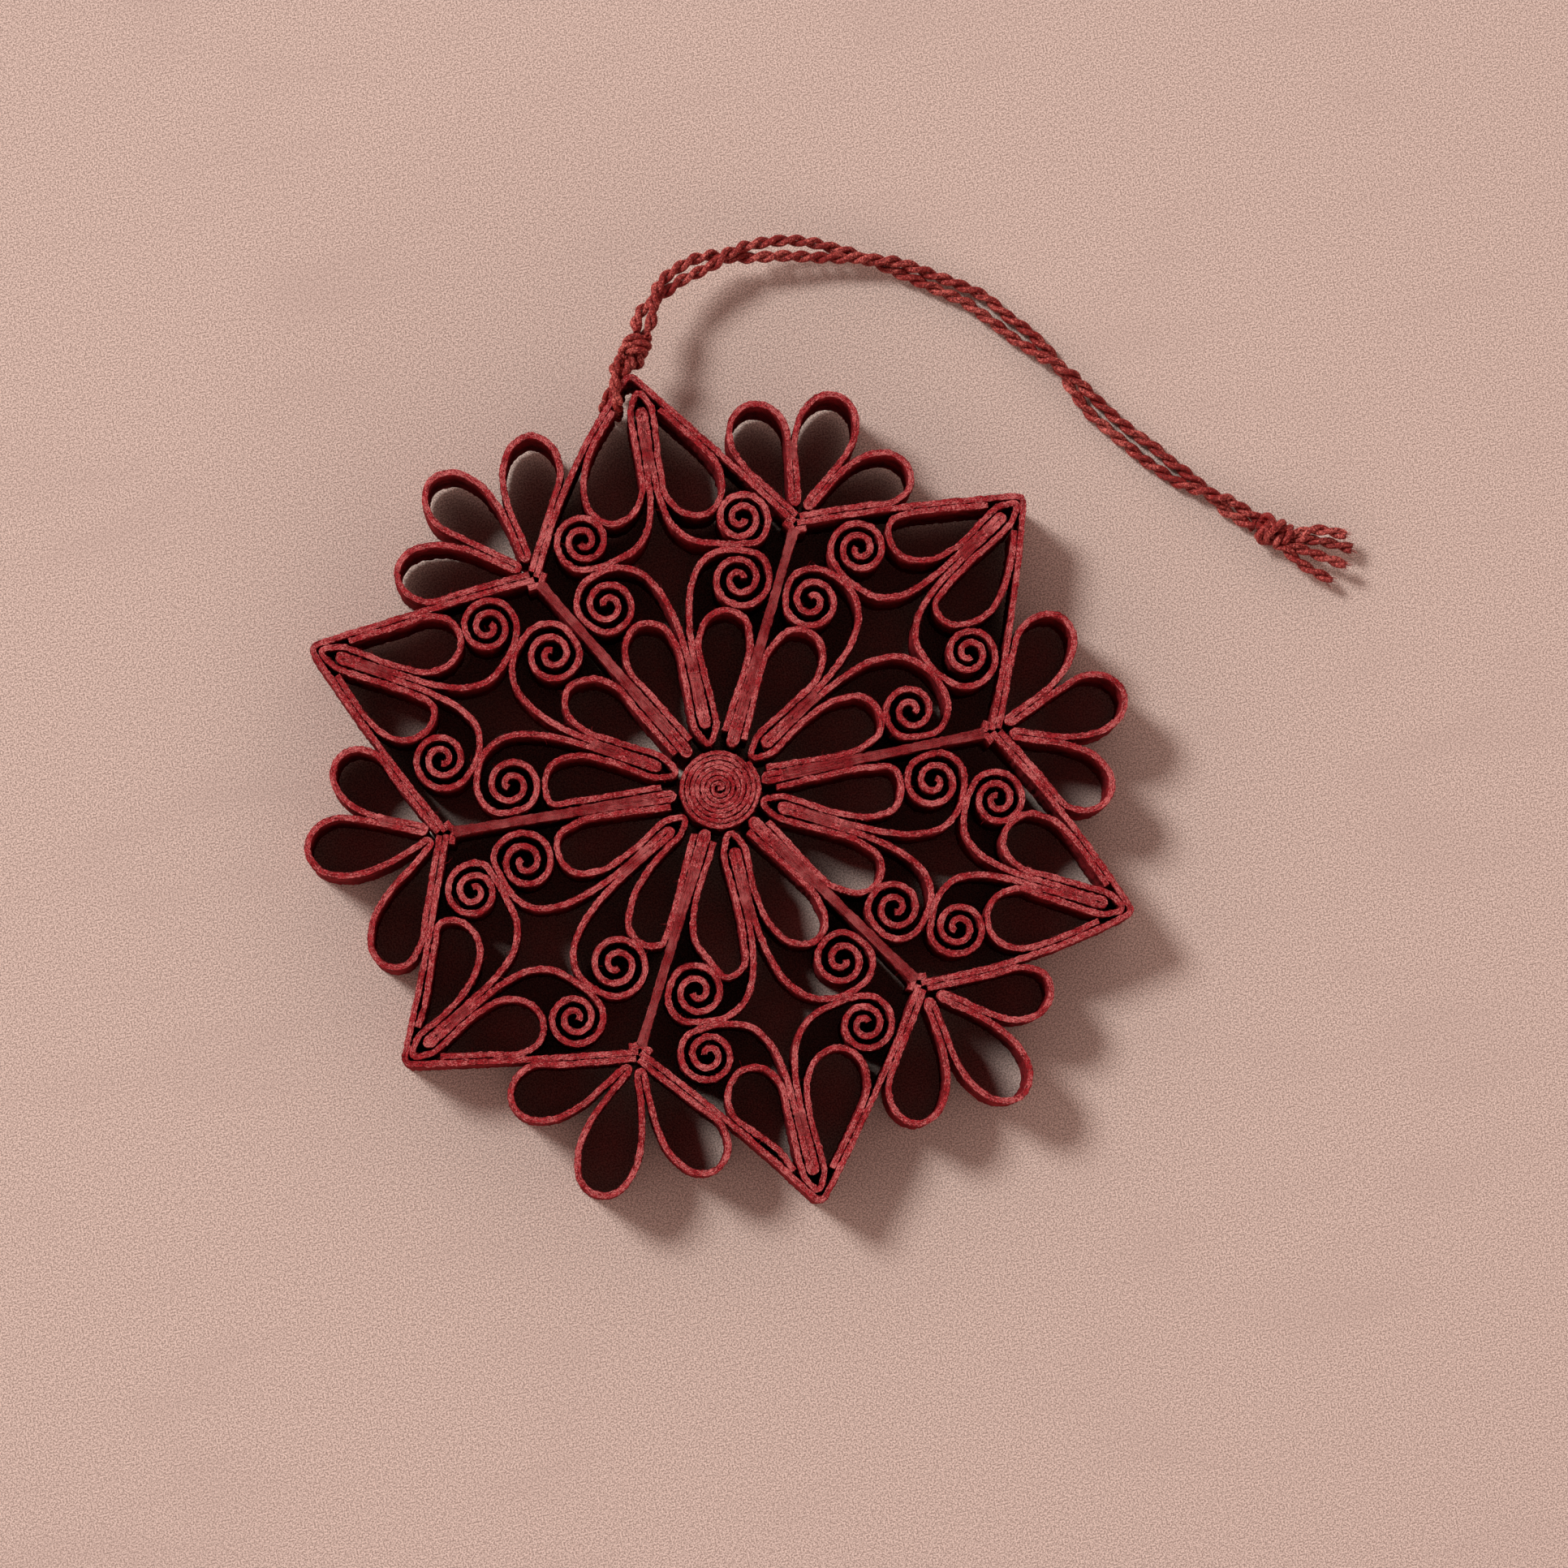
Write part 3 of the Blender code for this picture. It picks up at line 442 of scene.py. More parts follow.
# Evenly spaced points along such a curve
def evenRoute(points, spacing):
    fine = eased(points, spacing * 0.5)
    lengths = [0.0]
    for a, b in zip(fine, fine[1:]):
        lengths.append(lengths[-1] + (b - a).length)
    count = max(3, round(lengths[-1] / spacing) + 1)
    route = []
    j = 0
    for i in range(count):
        wanted = lengths[-1] * i / (count - 1)
        while j < len(fine) - 2 and lengths[j + 1] < wanted:
            j += 1
        share = (wanted - lengths[j]) / max(1e-12, lengths[j + 1] - lengths[j])
        route.append(fine[j].lerp(fine[j + 1], min(1.0, share)))
    return route


# The direction and two crosswise vectors at each point, carried along without twist
def carried(route):
    result = []
    across = None
    for i, p in enumerate(route):
        ahead = (route[min(i + 1, len(route) - 1)] - route[max(i - 1, 0)]).normalized()
        if across is None:
            across = ahead.cross(Vector((0, 0, 1)))
            if across.length < 0.1:
                across = ahead.cross(Vector((1, 0, 0)))
        across = (across - ahead * across.dot(ahead)).normalized()
        result.append((ahead, across, across.cross(ahead)))
    return result


# Lines that wind round a route, evenly spread, as the plies of a strand do
def twisted(route, count, radius, pitch, start=0.0):
    lines = [[] for _ in range(count)]
    walked = 0.0
    last = route[0]
    for p, (ahead, across, up) in zip(route, carried(route)):
        walked += (p - last).length
        last = p
        for j, line in enumerate(lines):
            a = start + math.tau * (walked / pitch + j / count)
            line.append(p + (across * math.cos(a) + up * math.sin(a)) * radius)
    return lines


# One mesh of thin tubes along the lines
def tubes(name, lines, radius, taper=None):
    data = bpy.data.curves.new(name, "CURVE")
    data.dimensions = "3D"
    data.bevel_depth = radius
    data.bevel_resolution = 0  # four sides, which is enough for a yarn or a hair
    data.use_fill_caps = True
    for line in lines:
        spline = data.splines.new("POLY")
        spline.points.add(len(line) - 1)
        for i, (point, p) in enumerate(zip(spline.points, line)):
            point.co = (*p, 1)
            if taper:
                point.radius = taper(i / (len(line) - 1))
    thing = bpy.data.objects.new(name, data)
    bpy.context.scene.collection.objects.link(thing)
    makeActive(thing)
    bpy.ops.object.convert(target="MESH")
    thing = bpy.context.object
    makeActive(thing)
    bpy.ops.object.shade_smooth()
    return thing


strandSet = {
    "plies": 2,
    "plyRadius": 0.40 * mm,  # of a ply's middle, round the strand's
    "plyPitch": 4.7 * mm,
    "yarns": 9,
    "yarnTurn": 0.305 * mm,
    "yarnPitch": 1.8 * mm,
    "yarnRadius": 0.116 * mm,
    "step": 0.20 * mm,
}


# The yarns of one twisted strand along a route
def strandLines(route, start=0.0, size=1.0):
    look = strandSet
    lines = []
    plyRadius, yarnTurn = look["plyRadius"] * size, look["yarnTurn"] * size
    for ply in twisted(route, look["plies"], plyRadius, look["plyPitch"], start):
        lines += twisted(ply, look["yarns"], yarnTurn, look["yarnPitch"], start * 2)
    return lines


hairSet = {
    "thick": 0.014 * mm,
    "long": 0.8 * mm,
    "shortest": 0.3,  # share of the longest
    "aside": 0.9,
    "curl": 0.3,
    "taper": 0.6,
    "lowest": 0.05 * mm,
    "cordPerMm": 0.2,
    "loopPerMm": 0.12,
    "tasselPerMm": 0.3,
}


# Keeps points off the tabletop
def kept(points, lowest):
    return [Vector((p.x, p.y, max(p.z, lowest))) for p in points]


# Loose fibres that stand out of yarns
def hairs(lines, perMm):
    look = hairSet
    wisps = []
    for line in lines:
        for _ in range(int(routeLength(line) / mm * perMm + chance.random())):
            i = chance.randrange(1, len(line) - 1)
            ahead = (line[i + 1] - line[i]).normalized()
            aside = Vector([chance.gauss(0, 1) for _ in range(3)]).normalized()
            reach = look["long"] * chance.uniform(look["shortest"], 1.0)
            way = (ahead * chance.choice((-1, 1)) + aside * look["aside"]).normalized()
            curl = Vector([chance.gauss(0, 1) for _ in range(3)]) * look["curl"]
            p = line[i]
            wisp = [p, p + way * reach * 0.5, p + way * reach + curl * reach]
            wisps.append(kept(wisp, look["lowest"]))
    return tubes("hairs", wisps, look["thick"], lambda t: 1 - look["taper"] * t)


def yarnPiece(name, lines, perMm=hairSet["cordPerMm"]):
    body = tubes(name, lines, strandSet["yarnRadius"])
    return joined([body, hairs(lines, perMm)], name)


cordSet = {
    "route": (  # the same points as in the CAD source, from the tip's knot to the end knot
        (0.0026, 0.0580, 0.0066), (0.0037, 0.0602, 0.0063), (0.0056, 0.0625, 0.0057),
        (0.0079, 0.0642, 0.0052), (0.0107, 0.0653, 0.0046), (0.0142, 0.0660, 0.0039),
        (0.0187, 0.0661, 0.0033), (0.0235, 0.0656, 0.0029), (0.0278, 0.0644, 0.0025),
        (0.0321, 0.0628, 0.0021), (0.0368, 0.0605, 0.0018), (0.0411, 0.0577, 0.0015),
        (0.0450, 0.0549, 0.0014), (0.0484, 0.0509, 0.0013), (0.0515, 0.0472, 0.0012),
        (0.0544, 0.0429, 0.0012), (0.0568, 0.0384, 0.0012), (0.0595, 0.0346, 0.0012),
        (0.0623, 0.0312, 0.0012), (0.0650, 0.0280, 0.0012), (0.0679, 0.0251, 0.0012),
        (0.0708, 0.0223, 0.0015), (0.0737, 0.0194, 0.0020),
    ),
    "diameter": 2.3 * mm,
    "strand": 1.58 * mm,
    "tightness": 0.90,  # how far the strands sink into each other where they touch
    # millimetres from the tip's knot, the gap between the strands there, half turns of the pair
    "pair": (
        (0.0, -0.15, -0.15), (1.9, 0.45, 0.0), (3.6, 0.0, 0.2), (5.2, -0.1, 0.6),
        (7.8, 0.0, 0.95), (10.4, 0.2, 1.0), (12.1, 0.35, 1.0), (14.0, 0.1, 1.1),
        (17.0, -0.1, 1.6), (19.8, 0.15, 1.97), (21.6, 0.45, 2.0), (25.0, 0.6, 2.0),
        (27.6, 0.4, 2.0), (30.5, 0.0, 2.15), (35.0, -0.1, 2.5), (39.5, -0.05, 2.85),
        (43.0, 0.05, 3.0), (45.5, 0.3, 3.0), (47.3, 0.25, 3.0), (50.2, 0.65, 3.0),
        (53.6, 0.35, 3.0), (56.8, 0.5, 3.0), (59.5, 0.1, 3.1), (63.0, -0.1, 3.5),
        (66.5, 0.0, 3.9), (70.2, 0.45, 4.0), (72.6, 0.3, 4.0), (74.0, 0.4, 4.0),
        (75.2, 0.3, 4.0), (78.2, 0.7, 4.0), (81.3, 0.3, 4.0), (83.0, 0.35, 4.0),
        (85.0, 0.0, 4.15), (88.0, -0.1, 4.5), (91.0, 0.0, 4.9), (94.2, -0.15, 5.0),
    ),
    "startTurns": (0.4, 1.5),  # radians by which each strand's own twist is ahead
    "restHeight": 0.78 * mm,  # of a strand's middle where the cord lies on the tabletop
    "restsBelow": 1.3 * mm,  # the route's height from which the cord lies on it
    "liftOver": 1.6 * mm,  # the height over which it leaves the tabletop
}


# The gap between the strands and the turn of the pair, that far from the tip's knot
def pairAt(walked):
    table = cordSet["pair"]
    s = walked / mm
    for a, b in zip(table, table[1:]):
        if s <= b[0]:
            t = min(1.0, max(0.0, (s - a[0]) / (b[0] - a[0])))
            t = t * t * (3 - 2 * t)
            return (a[1] + (b[1] - a[1]) * t) * mm, (a[2] + (b[2] - a[2]) * t) * math.pi
    return table[-1][1] * mm, table[-1][2] * math.pi


def addCord():
    look = cordSet
    route = evenRoute([Vector(p) for p in look["route"]], strandSet["step"])
    pair = [[], []]
    walked = 0.0
    last = route[0]
    for p in route:
        walked += (p - last).length
        ahead = p - last if walked else route[1] - route[0]
        last = p
        across = ahead.cross(Vector((0, 0, 1))).normalized()
        gap, roll = pairAt(walked)
        half = (look["strand"] * look["tightness"] + gap) / 2
        stacked = abs(math.sin(roll))
        flat = look["restHeight"] + half * stacked
        low = 1 - min(1.0, max(0.0, (p.z - look["restsBelow"]) / look["liftOver"]))
        middle = p + Vector((0, 0, (flat - p.z) * low))
        for side, strand in zip((1, -1), pair):
            aside = across * math.cos(roll) * half + Vector((0, 0, math.sin(roll) * half))
            q = middle + aside * side
            q.z = max(q.z, look["restHeight"])
            strand.append(q)
    lines = []
    for start, strand in zip(look["startTurns"], pair):
        lines += strandLines(strand, start)
    cord = yarnPiece("hanging_cord_yarns", lines)
    return finished(cord, yarn, "cord", "hanging_cord"), route


# The direction along a knot, and the two crosswise
def knotFrame(place, towards):
    ahead = (Vector(towards) - Vector(place)).normalized()
    across = ahead.cross(Vector((0, 0, 1))).normalized()
    return ahead, across, across.cross(ahead)


# The two strands that run through a knot
def knotCore(look, place, ahead, across):
    lines = []
    for side in (-1, 1):
        aside = across * side * look["coreApart"]
        core = [place + ahead * look["core"] * s + aside for s in (-1, -0.4, 0.4, 1)]
        lines += strandLines(evenRoute(core, strandSet["step"]), side, look["coreSize"])
    return lines


tipKnotSet = {
    "place": (0.0014, 0.0560, 0.0070),
    "turns": 2.7,
    "startTurn": 2.4,
    "steps": 60,
    "wrap": 1.18 * mm,  # radius of the wraps
    "wrapSize": 1.09,  # of their strand
    "wrapTwist": 0.6,
    "endPart": 0.2,  # share of each half over which the wraps close in
    "closing": 0.4,
    "span": 1.60 * mm,  # half the length of the wrapped part
    "lean": 0.60 * mm,
    "leanTurn": 40 * deg,
    "core": 2.3 * mm,  # half the length of the strands through it
    "coreApart": 0.38 * mm,
    "coreSize": 0.85,
}


def addTipKnot():
    look = tipKnotSet
    place = Vector(look["place"])
    ahead, across, up = knotFrame(place, cordSet["route"][0])
    wraps = []
    for i in range(look["steps"] + 1):
        t = i / look["steps"]
        a = math.tau * look["turns"] * t + look["startTurn"]
        edge = max(0.0, abs(2 * t - 1) - 1 + look["endPart"]) / look["endPart"]
        r = look["wrap"] * (1 - look["closing"] * edge)
        lean = math.sin(a + look["leanTurn"]) * look["lean"]
        p = place + ahead * ((2 * t - 1) * look["span"] + lean)
        wraps.append(p + across * math.cos(a) * r + up * math.sin(a) * r)
    route = evenRoute(wraps, strandSet["step"])
    lines = strandLines(route, look["wrapTwist"], look["wrapSize"])
    lines += knotCore(look, place, ahead, across)
    return finished(yarnPiece("tip_knot_wraps", lines), yarn, "cord", "tip_knot")


endKnotSet = {
    "place": (0.0753, 0.0179, 0.0021),
    # along the cord, radius in millimetres, then lean and tilt of each wrap in degrees
    "wraps": ((-0.95, 1.25, 20, 24), (0.30, 1.45, -36, -20), (1.50, 0.90, -8, 10)),
    "startTurn": 4.0,
    "steps": 48,
    "wrapSize": 1.14,
    "core": 2.0 * mm,
    "coreApart": 0.36 * mm,
    "coreSize": 0.9,
    "lowest": 0.86 * mm,
}


def addEndKnot():
    look = endKnotSet
    place = Vector(look["place"])
    ahead, across, up = knotFrame(cordSet["route"][-1], place)
    lines = []
    for number, (out, radius, lean, tilt) in enumerate(look["wraps"]):
        middle = place + ahead * out * mm
        leaning, tilting = math.tan(lean * deg), math.tan(tilt * deg)
        loop = []
        for i in range(look["steps"] + 1):
            a = math.tau * i / look["steps"] + look["startTurn"]
            p = across * math.cos(a) + up * math.sin(a)
            p += ahead * (math.cos(a) * leaning + math.sin(a) * tilting)
            loop.append(middle + p * radius * mm)
        route = evenRoute(kept(loop, look["lowest"]), strandSet["step"])
        lines += strandLines(route, number, look["wrapSize"])
    lines += knotCore(look, place, ahead, across)
    return finished(yarnPiece("end_knot_wraps", lines), yarn, "cord", "end_knot")


tasselSet = {
    "ends": (
        (0.0841, 0.0154, 0.0032), (0.0846, 0.0137, 0.0022),
        (0.0833, 0.0117, 0.0029), (0.0813, 0.0103, 0.0020),
    ),
    "start": 1.3 * mm,  # from the knot's middle
    "straight": 1.0 * mm,
    "apart": 0.70 * mm,  # of the strands where they start
    "bow": 0.25 * mm,
    "size": 0.90,
    "fray": 22,
    "frayWide": 0.30,
    "frayRoot": 0.6 * mm,
    "frayLong": 0.9 * mm,
    "frayLeast": 0.5 * mm,
    "frayOut": 0.9,
    "frayBend": 0.1 * mm,
    "frayThick": 0.035 * mm,
    "frayTaper": 0.6,
    "lowest": 0.1 * mm,
}


def addTassel():
    look = tasselSet
    knot = Vector(endKnotSet["place"])
    ahead, across, _ = knotFrame(cordSet["route"][-1], knot)
    pieces = []
    for i, end in enumerate(look["ends"]):
        end = Vector(end)
        place = i - 1.5  # of the strand among the four
        start = knot + ahead * look["start"] + across * look["apart"] * place
        middle = start.lerp(end, 0.5) + across * look["bow"] * place
        points = [start, start + ahead * look["straight"], middle, end]
        route = evenRoute(points, strandSet["step"])
        lines = strandLines(route, i, look["size"])
        wisps = []
        heading = (route[-1] - route[-6]).normalized()
        for _ in range(look["fray"]):
            side = Vector([chance.gauss(0, look["frayWide"]) for _ in range(3)])
            reach = look["frayLong"] * chance.uniform(0.3, 1)
            root = route[-4] + side * look["frayRoot"]
            way = (heading + side * look["frayOut"]).normalized()
            tip = root + way * (reach + look["frayLeast"])
            bend = root.lerp(tip, 0.5) + side * look["frayBend"]
            wisps.append(kept((root, bend, tip), look["lowest"]))
        made = [tubes("yarns", lines, strandSet["yarnRadius"])]
        made.append(tubes("fray", wisps, look["frayThick"], lambda t: 1 - look["frayTaper"] * t))
        made.append(hairs(lines, hairSet["tasselPerMm"]))
        tuft = joined(made, f"tassel_end_{i + 1}")
        pieces.append(finished(tuft, yarn, "cord", f"tassel_strand_{i + 1}"))
    return pieces


loopSet = {
    "size": 0.88,  # of a free strand, because the loop is pulled tight
    "intoKnot": 0.9 * mm,
}


# The points that a CAD tube follows, from the middles of its rings
def tubeMiddle(node):
    work = bmesh.new()
    work.from_mesh(node.data)
    bmesh.ops.remove_doubles(work, verts=work.verts, dist=1e-6)
    bmesh.ops.dissolve_limit(work, angle_limit=0.5 * deg, verts=work.verts, edges=work.edges)
    cap = max(work.faces, key=lambda face: len(face.verts))
    ring = set(cap.verts)
    seen = set(ring)
    middles = []
    while ring:
        middles.append(sum((v.co for v in ring), Vector()) / len(ring))
        ring = {e.other_vert(v) for v in ring for e in v.link_edges} - seen
        seen |= ring
    work.free()
    return middles


def addLoops():
    look = loopSet
    knot = Vector(tipKnotSet["place"])
    for number, node in enumerate(("cord_loop_left", "cord_loop_right")):
        middles = tubeMiddle(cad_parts[node])
        for end, at in ((0, 0), (-1, len(middles) + 1)):
            inwards = (knot - middles[end]).normalized() * look["intoKnot"]
            middles.insert(at, middles[end] + inwards)
        route = evenRoute(middles, strandSet["step"])
        lines = strandLines(route, number, look["size"])
        strand = yarnPiece(node + "_yarns", lines, hairSet["loopPerMm"])
        finished(strand, yarn, "cord", node)
        print(node, "rings:", len(middles) - 2)


cord, cordRoute = addCord()
knots = [addTipKnot(), addEndKnot()]
tassel = addTassel()
addLoops()
routeLength(cordRoute)
knots + tassel
print("cord made,", round(routeLength(cordRoute) / mm), "mm")

stripSet = {
    "heights": (0.00004, 0.0031, 0.0062, 0.0081, 0.0090),  # of the rows below the top
    "step": 0.26 * mm,
    "turnStep": 12 * deg,
    "hubThinner": 0.03 * mm,  # opens the lines between the hub's turns
    "sway": 0.05 * mm,  # hand-bent strips aren't quite even
    "swaySize": 2.4 * mm,
    "bevel": 0.045 * mm,
    "bevelAngle": 55 * deg,
    "smoothAngle": 50 * deg,
    "lumps": ((0.34 * mm, 0.40 * mm), (0.12 * mm, 1.9 * mm)),  # strength and size
    "notchReach": 0.9 * mm,
    "doubtful": 0.5,  # a middle line's score from which the strip is named in the printout
}


# A strip's outline on its top, in order, from its CAD solid
def topOutline(node):
    work = bmesh.new()
    work.from_mesh(node.data)
    bmesh.ops.remove_doubles(work, verts=work.verts, dist=1e-6)
    work.normal_update()
    top = max(v.co.z for v in work.verts)
    joins = {}
    for edge in work.edges:
        a, b = edge.verts
        if min(a.co.z, b.co.z) < top - 1e-6:
            continue
        tops = [face.normal.z > 0.9 for face in edge.link_faces]
        if tops.count(True) == 1:
            joins.setdefault(a, []).append(b)
            joins.setdefault(b, []).append(a)
    start = next(iter(joins))
    loop = [start]
    last = None
    while True:
        ways = [v for v in joins[loop[-1]] if v != last]
        last = loop[-1]
        if ways[0] == start and len(loop) > 2:
            break
        loop.append(ways[0])
    points = [Vector((v.co.x, v.co.y)) for v in loop]
    work.free()
    return points


# The middle line of an outline that goes up one side of a strip and down the other,
# the strip's width, and a score that is near 0 where its two ends are cut square
def middleLine(points):
    count = len(points)
    half = count // 2
    best = None
    for i in range(half):
        near = points[(i + 1) % count] - points[i]
        far = points[(i + half + 1) % count] - points[(i + half) % count]
        widths = []
        score = 0.0
        for end, j in zip((near, far), (i, i + half)):
            before = points[j % count] - points[j - 1]
            after = points[(j + 2) % count] - points[(j + 1) % count]
            score += abs(end.normalized().dot(before.normalized()))
            score += abs(end.normalized().dot(after.normalized()))
            widths.append(end.length)
        score += abs(widths[0] - widths[1]) / min(widths) * 5
        if best is None or score < best[0]:
            best = (score, i, widths)
    score, i, widths = best
    line = []
    for j in range(half):
        line.append((points[(i + 1 + j) % count] + points[(i - j) % count]) / 2)
    return line, sum(widths) / 2, score


# Moves a line to and fro as a hand would
def swayed(line):
    look = stripSet
    result = []
    for i, p in enumerate(line):
        way = line[min(i + 1, len(line) - 1)] - line[max(i - 1, 0)]
        side = Vector((-way.y, way.x)).normalized()
        amount = noise.noise(Vector((p.x, p.y, 0.01)) / look["swaySize"])
        result.append(p + side * amount * look["sway"])
    return result


foldSet = {
    "bend": 20 * deg,  # least turn at one point of a fold
    "turn": (140 * deg, 215 * deg),  # of the whole fold
    "long": 2.2 * mm,
    "press": 0.26,
    "reach": 2.5 * mm,
    "pointsBeyond": 4,
}


# Presses the two layers of a sharp fold together
def pressed(line):
    look = foldSet
    turns = [0.0]
    for a, b, c in zip(line, line[1:], line[2:]):
        turns.append((b - a).angle_signed(c - b, 0.0))
    turns.append(0.0)
    least, most = look["turn"]
    result = list(line)
    i = 0
    while i < len(line):
        j = i
        while j < len(line) and abs(turns[j]) > look["bend"] and turns[j] * turns[i] > 0:
            j += 1
        sharp = 0 < i and least < abs(sum(turns[i:j])) < most
        if sharp and routeLength(line[i:j]) < look["long"]:
            middle = (line[i] + line[j - 1]) / 2
            ahead = (line[i] - line[i - 1]).normalized() - (line[j] - line[j - 1]).normalized()
            ahead.normalize()
            first = max(0, i - look["pointsBeyond"])
            for k in range(first, min(len(line), j + look["pointsBeyond"])):
                away = line[k] - middle
                out = away.dot(ahead)
                fade = max(0.0, 1 - max(0.0, -out) / look["reach"])
                result[k] = line[k] - (away - ahead * out) * look["press"] * fade
        i = max(j, i + 1)
    return result


lumpTextures = []
for _, lumpSize in stripSet["lumps"]:
    texture = bpy.data.textures.new("paper_lumps", "CLOUDS")
    texture.noise_scale = lumpSize
    texture.noise_depth = 1
    lumpTextures.append(texture)


# A strip on its edge, made as a ribbon, then thickened, with its cut edges rounded
def stripBody(name, line, width, top, cutter=None):
    look = stripSet
    data = bpy.data.curves.new(name, "CURVE")
    data.dimensions = "3D"
    spline = data.splines.new("POLY")
    spline.points.add(len(line) - 1)
    for point, p in zip(spline.points, line):
        point.co = (p.x, p.y, look["heights"][0], 1)
    thing = bpy.data.objects.new(name, data)
    bpy.context.scene.collection.objects.link(thing)
    makeActive(thing)
    bpy.ops.object.convert(target="MESH")
    thing = bpy.context.object
    makeActive(thing)
    bpy.ops.object.mode_set(mode="EDIT")
    bpy.ops.mesh.select_all(action="SELECT")
    rows = look["heights"] + (top - look["heights"][0],)
    for low, high in zip(rows, rows[1:]):
        move = {"value": (0, 0, high - low)}
        bpy.ops.mesh.extrude_region_move(TRANSFORM_OT_translate=move)
    bpy.ops.mesh.select_all(action="SELECT")
    bpy.ops.mesh.normals_make_consistent(inside=False)
    bpy.ops.object.mode_set(mode="OBJECT")
    thick = thing.modifiers.new("thickness", "SOLIDIFY")
    thick.thickness = width
    thick.offset = 0
    thick.use_even_offset = True
    if cutter:
        notch = thing.modifiers.new("notch", "BOOLEAN")
        notch.operation = "DIFFERENCE"
        notch.solver = "EXACT"
        notch.object = cutter
    soft = thing.modifiers.new("soft edge", "BEVEL")
    soft.width = look["bevel"]
    soft.segments = 1
    soft.limit_method = "ANGLE"
    soft.angle_limit = look["bevelAngle"]
    for texture, (strength, size) in zip(lumpTextures, look["lumps"]):
        rough = thing.modifiers.new("lumps", "DISPLACE")
        rough.texture = texture
        rough.texture_coords = "LOCAL"
        rough.strength = strength
        rough.mid_level = 0.5
    applyAll(thing)
    bpy.ops.object.shade_smooth_by_angle(angle=look["smoothAngle"])
    return thing


# Gives each point how far it is along its strip, across it and up, for the paper's streaks
def markGrain(thing, line):
    tree = kdtree.KDTree(len(line))
    for i, p in enumerate(line):
        tree.insert((p.x, p.y, 0), i)
    tree.balance()
    walked = [0.0]
    sides = []
    for a, b in zip(line, line[1:]):
        walked.append(walked[-1] + (b - a).length)
        way = (b - a).normalized()
        sides.append(Vector((-way.y, way.x)))
    sides.append(sides[-1])
    values = []
    for v in thing.data.vertices:
        p, i, _ = tree.find((v.co.x, v.co.y, 0))
        away = Vector((v.co.x - p.x, v.co.y - p.y))
        ahead = Vector((sides[i].y, -sides[i].x))
        values += (walked[i] + away.dot(ahead), away.dot(sides[i]), v.co.z)
    grain = thing.data.attributes.new("grain", "FLOAT_VECTOR", "POINT")
    grain.data.foreach_set("vector", values)


fuzzSet = {
    "perMm": 6.0,
    "long": 0.42 * mm,
    "thick": 0.019 * mm,
    "taper": 0.55,
    "down": 0.10 * mm,  # how far below the rim most of them start
    "sunk": 0.03 * mm,
    "inward": 0.95,  # share of half the strip's width at which they start
    "onSides": 0.10,  # share that stands out of the sides
    "longOnes": 0.02,
    "longer": 3,
    "lean": 1.1,
    "rise": (-0.25, 0.45),
    "curl": 0.35,
    "lowest": 0.06 * mm,
}


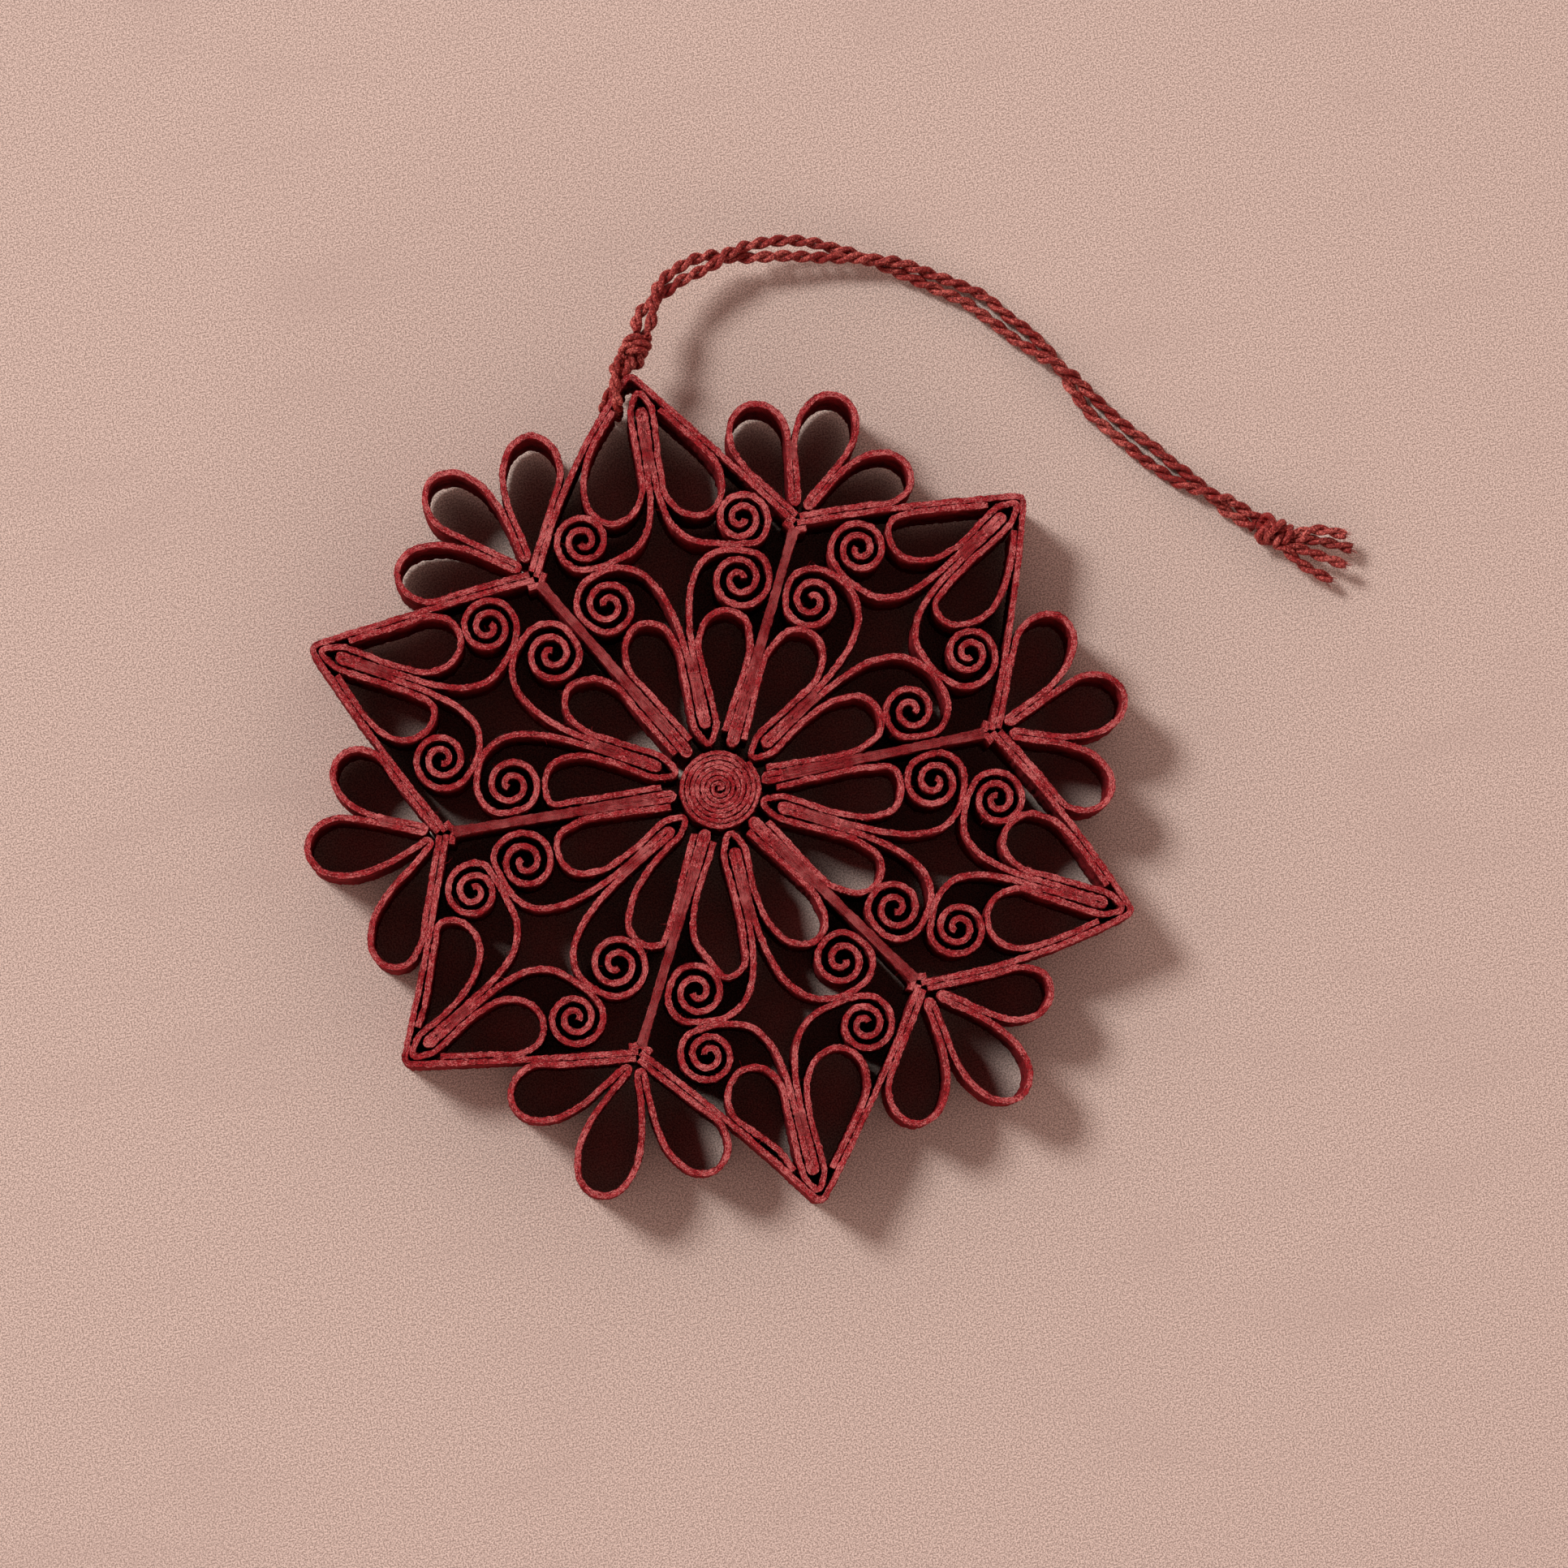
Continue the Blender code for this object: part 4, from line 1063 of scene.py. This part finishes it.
# Fibres that stand out of a strip's upper rims, and a few out of its sides
def stripFuzz(line, width, top):
    look = fuzzSet
    wisps = []
    lengths = [0.0]
    for a, b in zip(line, line[1:]):
        lengths.append(lengths[-1] + (b - a).length)
    count = int(lengths[-1] / mm * look["perMm"])
    places = sorted(chance.uniform(0, lengths[-1]) for _ in range(count))
    j = 0
    for place in places:
        while j < len(line) - 2 and lengths[j + 1] < place:
            j += 1
        a, b = line[j], line[j + 1]
        spot = a.lerp(b, (place - lengths[j]) / max(1e-9, lengths[j + 1] - lengths[j]))
        ahead = (b - a).normalized()
        aside = Vector((-ahead.y, ahead.x)) * chance.choice((-1, 1))
        out = chance.uniform(0.2, 1.0)
        height = top - abs(chance.gauss(0, look["down"])) - look["sunk"]
        if chance.random() < look["onSides"]:
            height = chance.uniform(0.15, 0.95) * top
            out = 1.0
        root = spot + aside * width * 0.5 * out * look["inward"]
        reach = look["long"] * chance.uniform(0.25, 1.0) ** 1.5
        if chance.random() < look["longOnes"]:
            reach *= look["longer"]
        lean = chance.gauss(0, look["lean"])
        rise = chance.uniform(*look["rise"])
        way = Vector((*(aside * out + ahead * lean), rise)).normalized()
        curl = Vector([chance.gauss(0, look["curl"]) for _ in range(3)])
        p = Vector((root.x, root.y, height))
        q = p + way * reach * 0.5
        r = p + (way + curl).normalized() * reach
        wisps.append(kept((p, q, r), look["lowest"]))
    return tubes("fuzz", wisps, look["thick"], lambda t: 1 - look["taper"] * t)


# A box where the CAD strip has a notch in its lower edge, or nothing where it has none
def notchCutter(node, line):
    corners = [v.co for v in node.data.vertices if 0.1 * mm < v.co.z < stripTop - 0.1 * mm]
    if not corners:
        return None
    middle = sum(corners, Vector()) / len(corners)
    near = min(range(1, len(line)), key=lambda i: (line[i] - middle.xy).length)
    way = (line[near] - line[near - 1]).normalized()
    reach = max(abs((c - middle).xy.dot(way)) for c in corners)
    bpy.ops.mesh.primitive_cube_add(size=1)
    cutter = bpy.context.object
    cutter.name = "notch_cutter"
    turned = Matrix.Rotation(math.atan2(way.y, way.x), 4, "Z")
    sized = Matrix.Diagonal((2 * reach, 2 * stripSet["notchReach"], 2 * middle.z, 1))
    cutter.data.transform(Matrix.Translation((middle.x, middle.y, 0)) @ turned @ sized)
    return cutter


def addStrip(node):
    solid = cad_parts[node]
    line, width, score = middleLine(topOutline(solid))
    if score > stripSet["doubtful"]:
        print("outline of", node, "is uncertain:", round(score, 2))
    line = swayed(eased(pressed(line), stripSet["step"], stripSet["turnStep"]))
    if "hub" in node:
        width -= stripSet["hubThinner"]
    cutter = notchCutter(solid, line)
    body = stripBody(node + "_paper", line, width, stripTop, cutter)
    if cutter:
        bpy.data.objects.remove(cutter, do_unlink=True)
    markGrain(body, line)
    fuzz = stripFuzz(line, width, stripTop)
    strip = joined([body, fuzz], node + "_paper")
    return finished(strip, paper, "paper", node)


stripKinds = ("hub_coil", "spoke", "star_point", "petals", "scrolls", "valley_loops")
for node in sorted(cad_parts):
    if any(kind in node for kind in stripKinds):
        addStrip(node)
print("strips made")
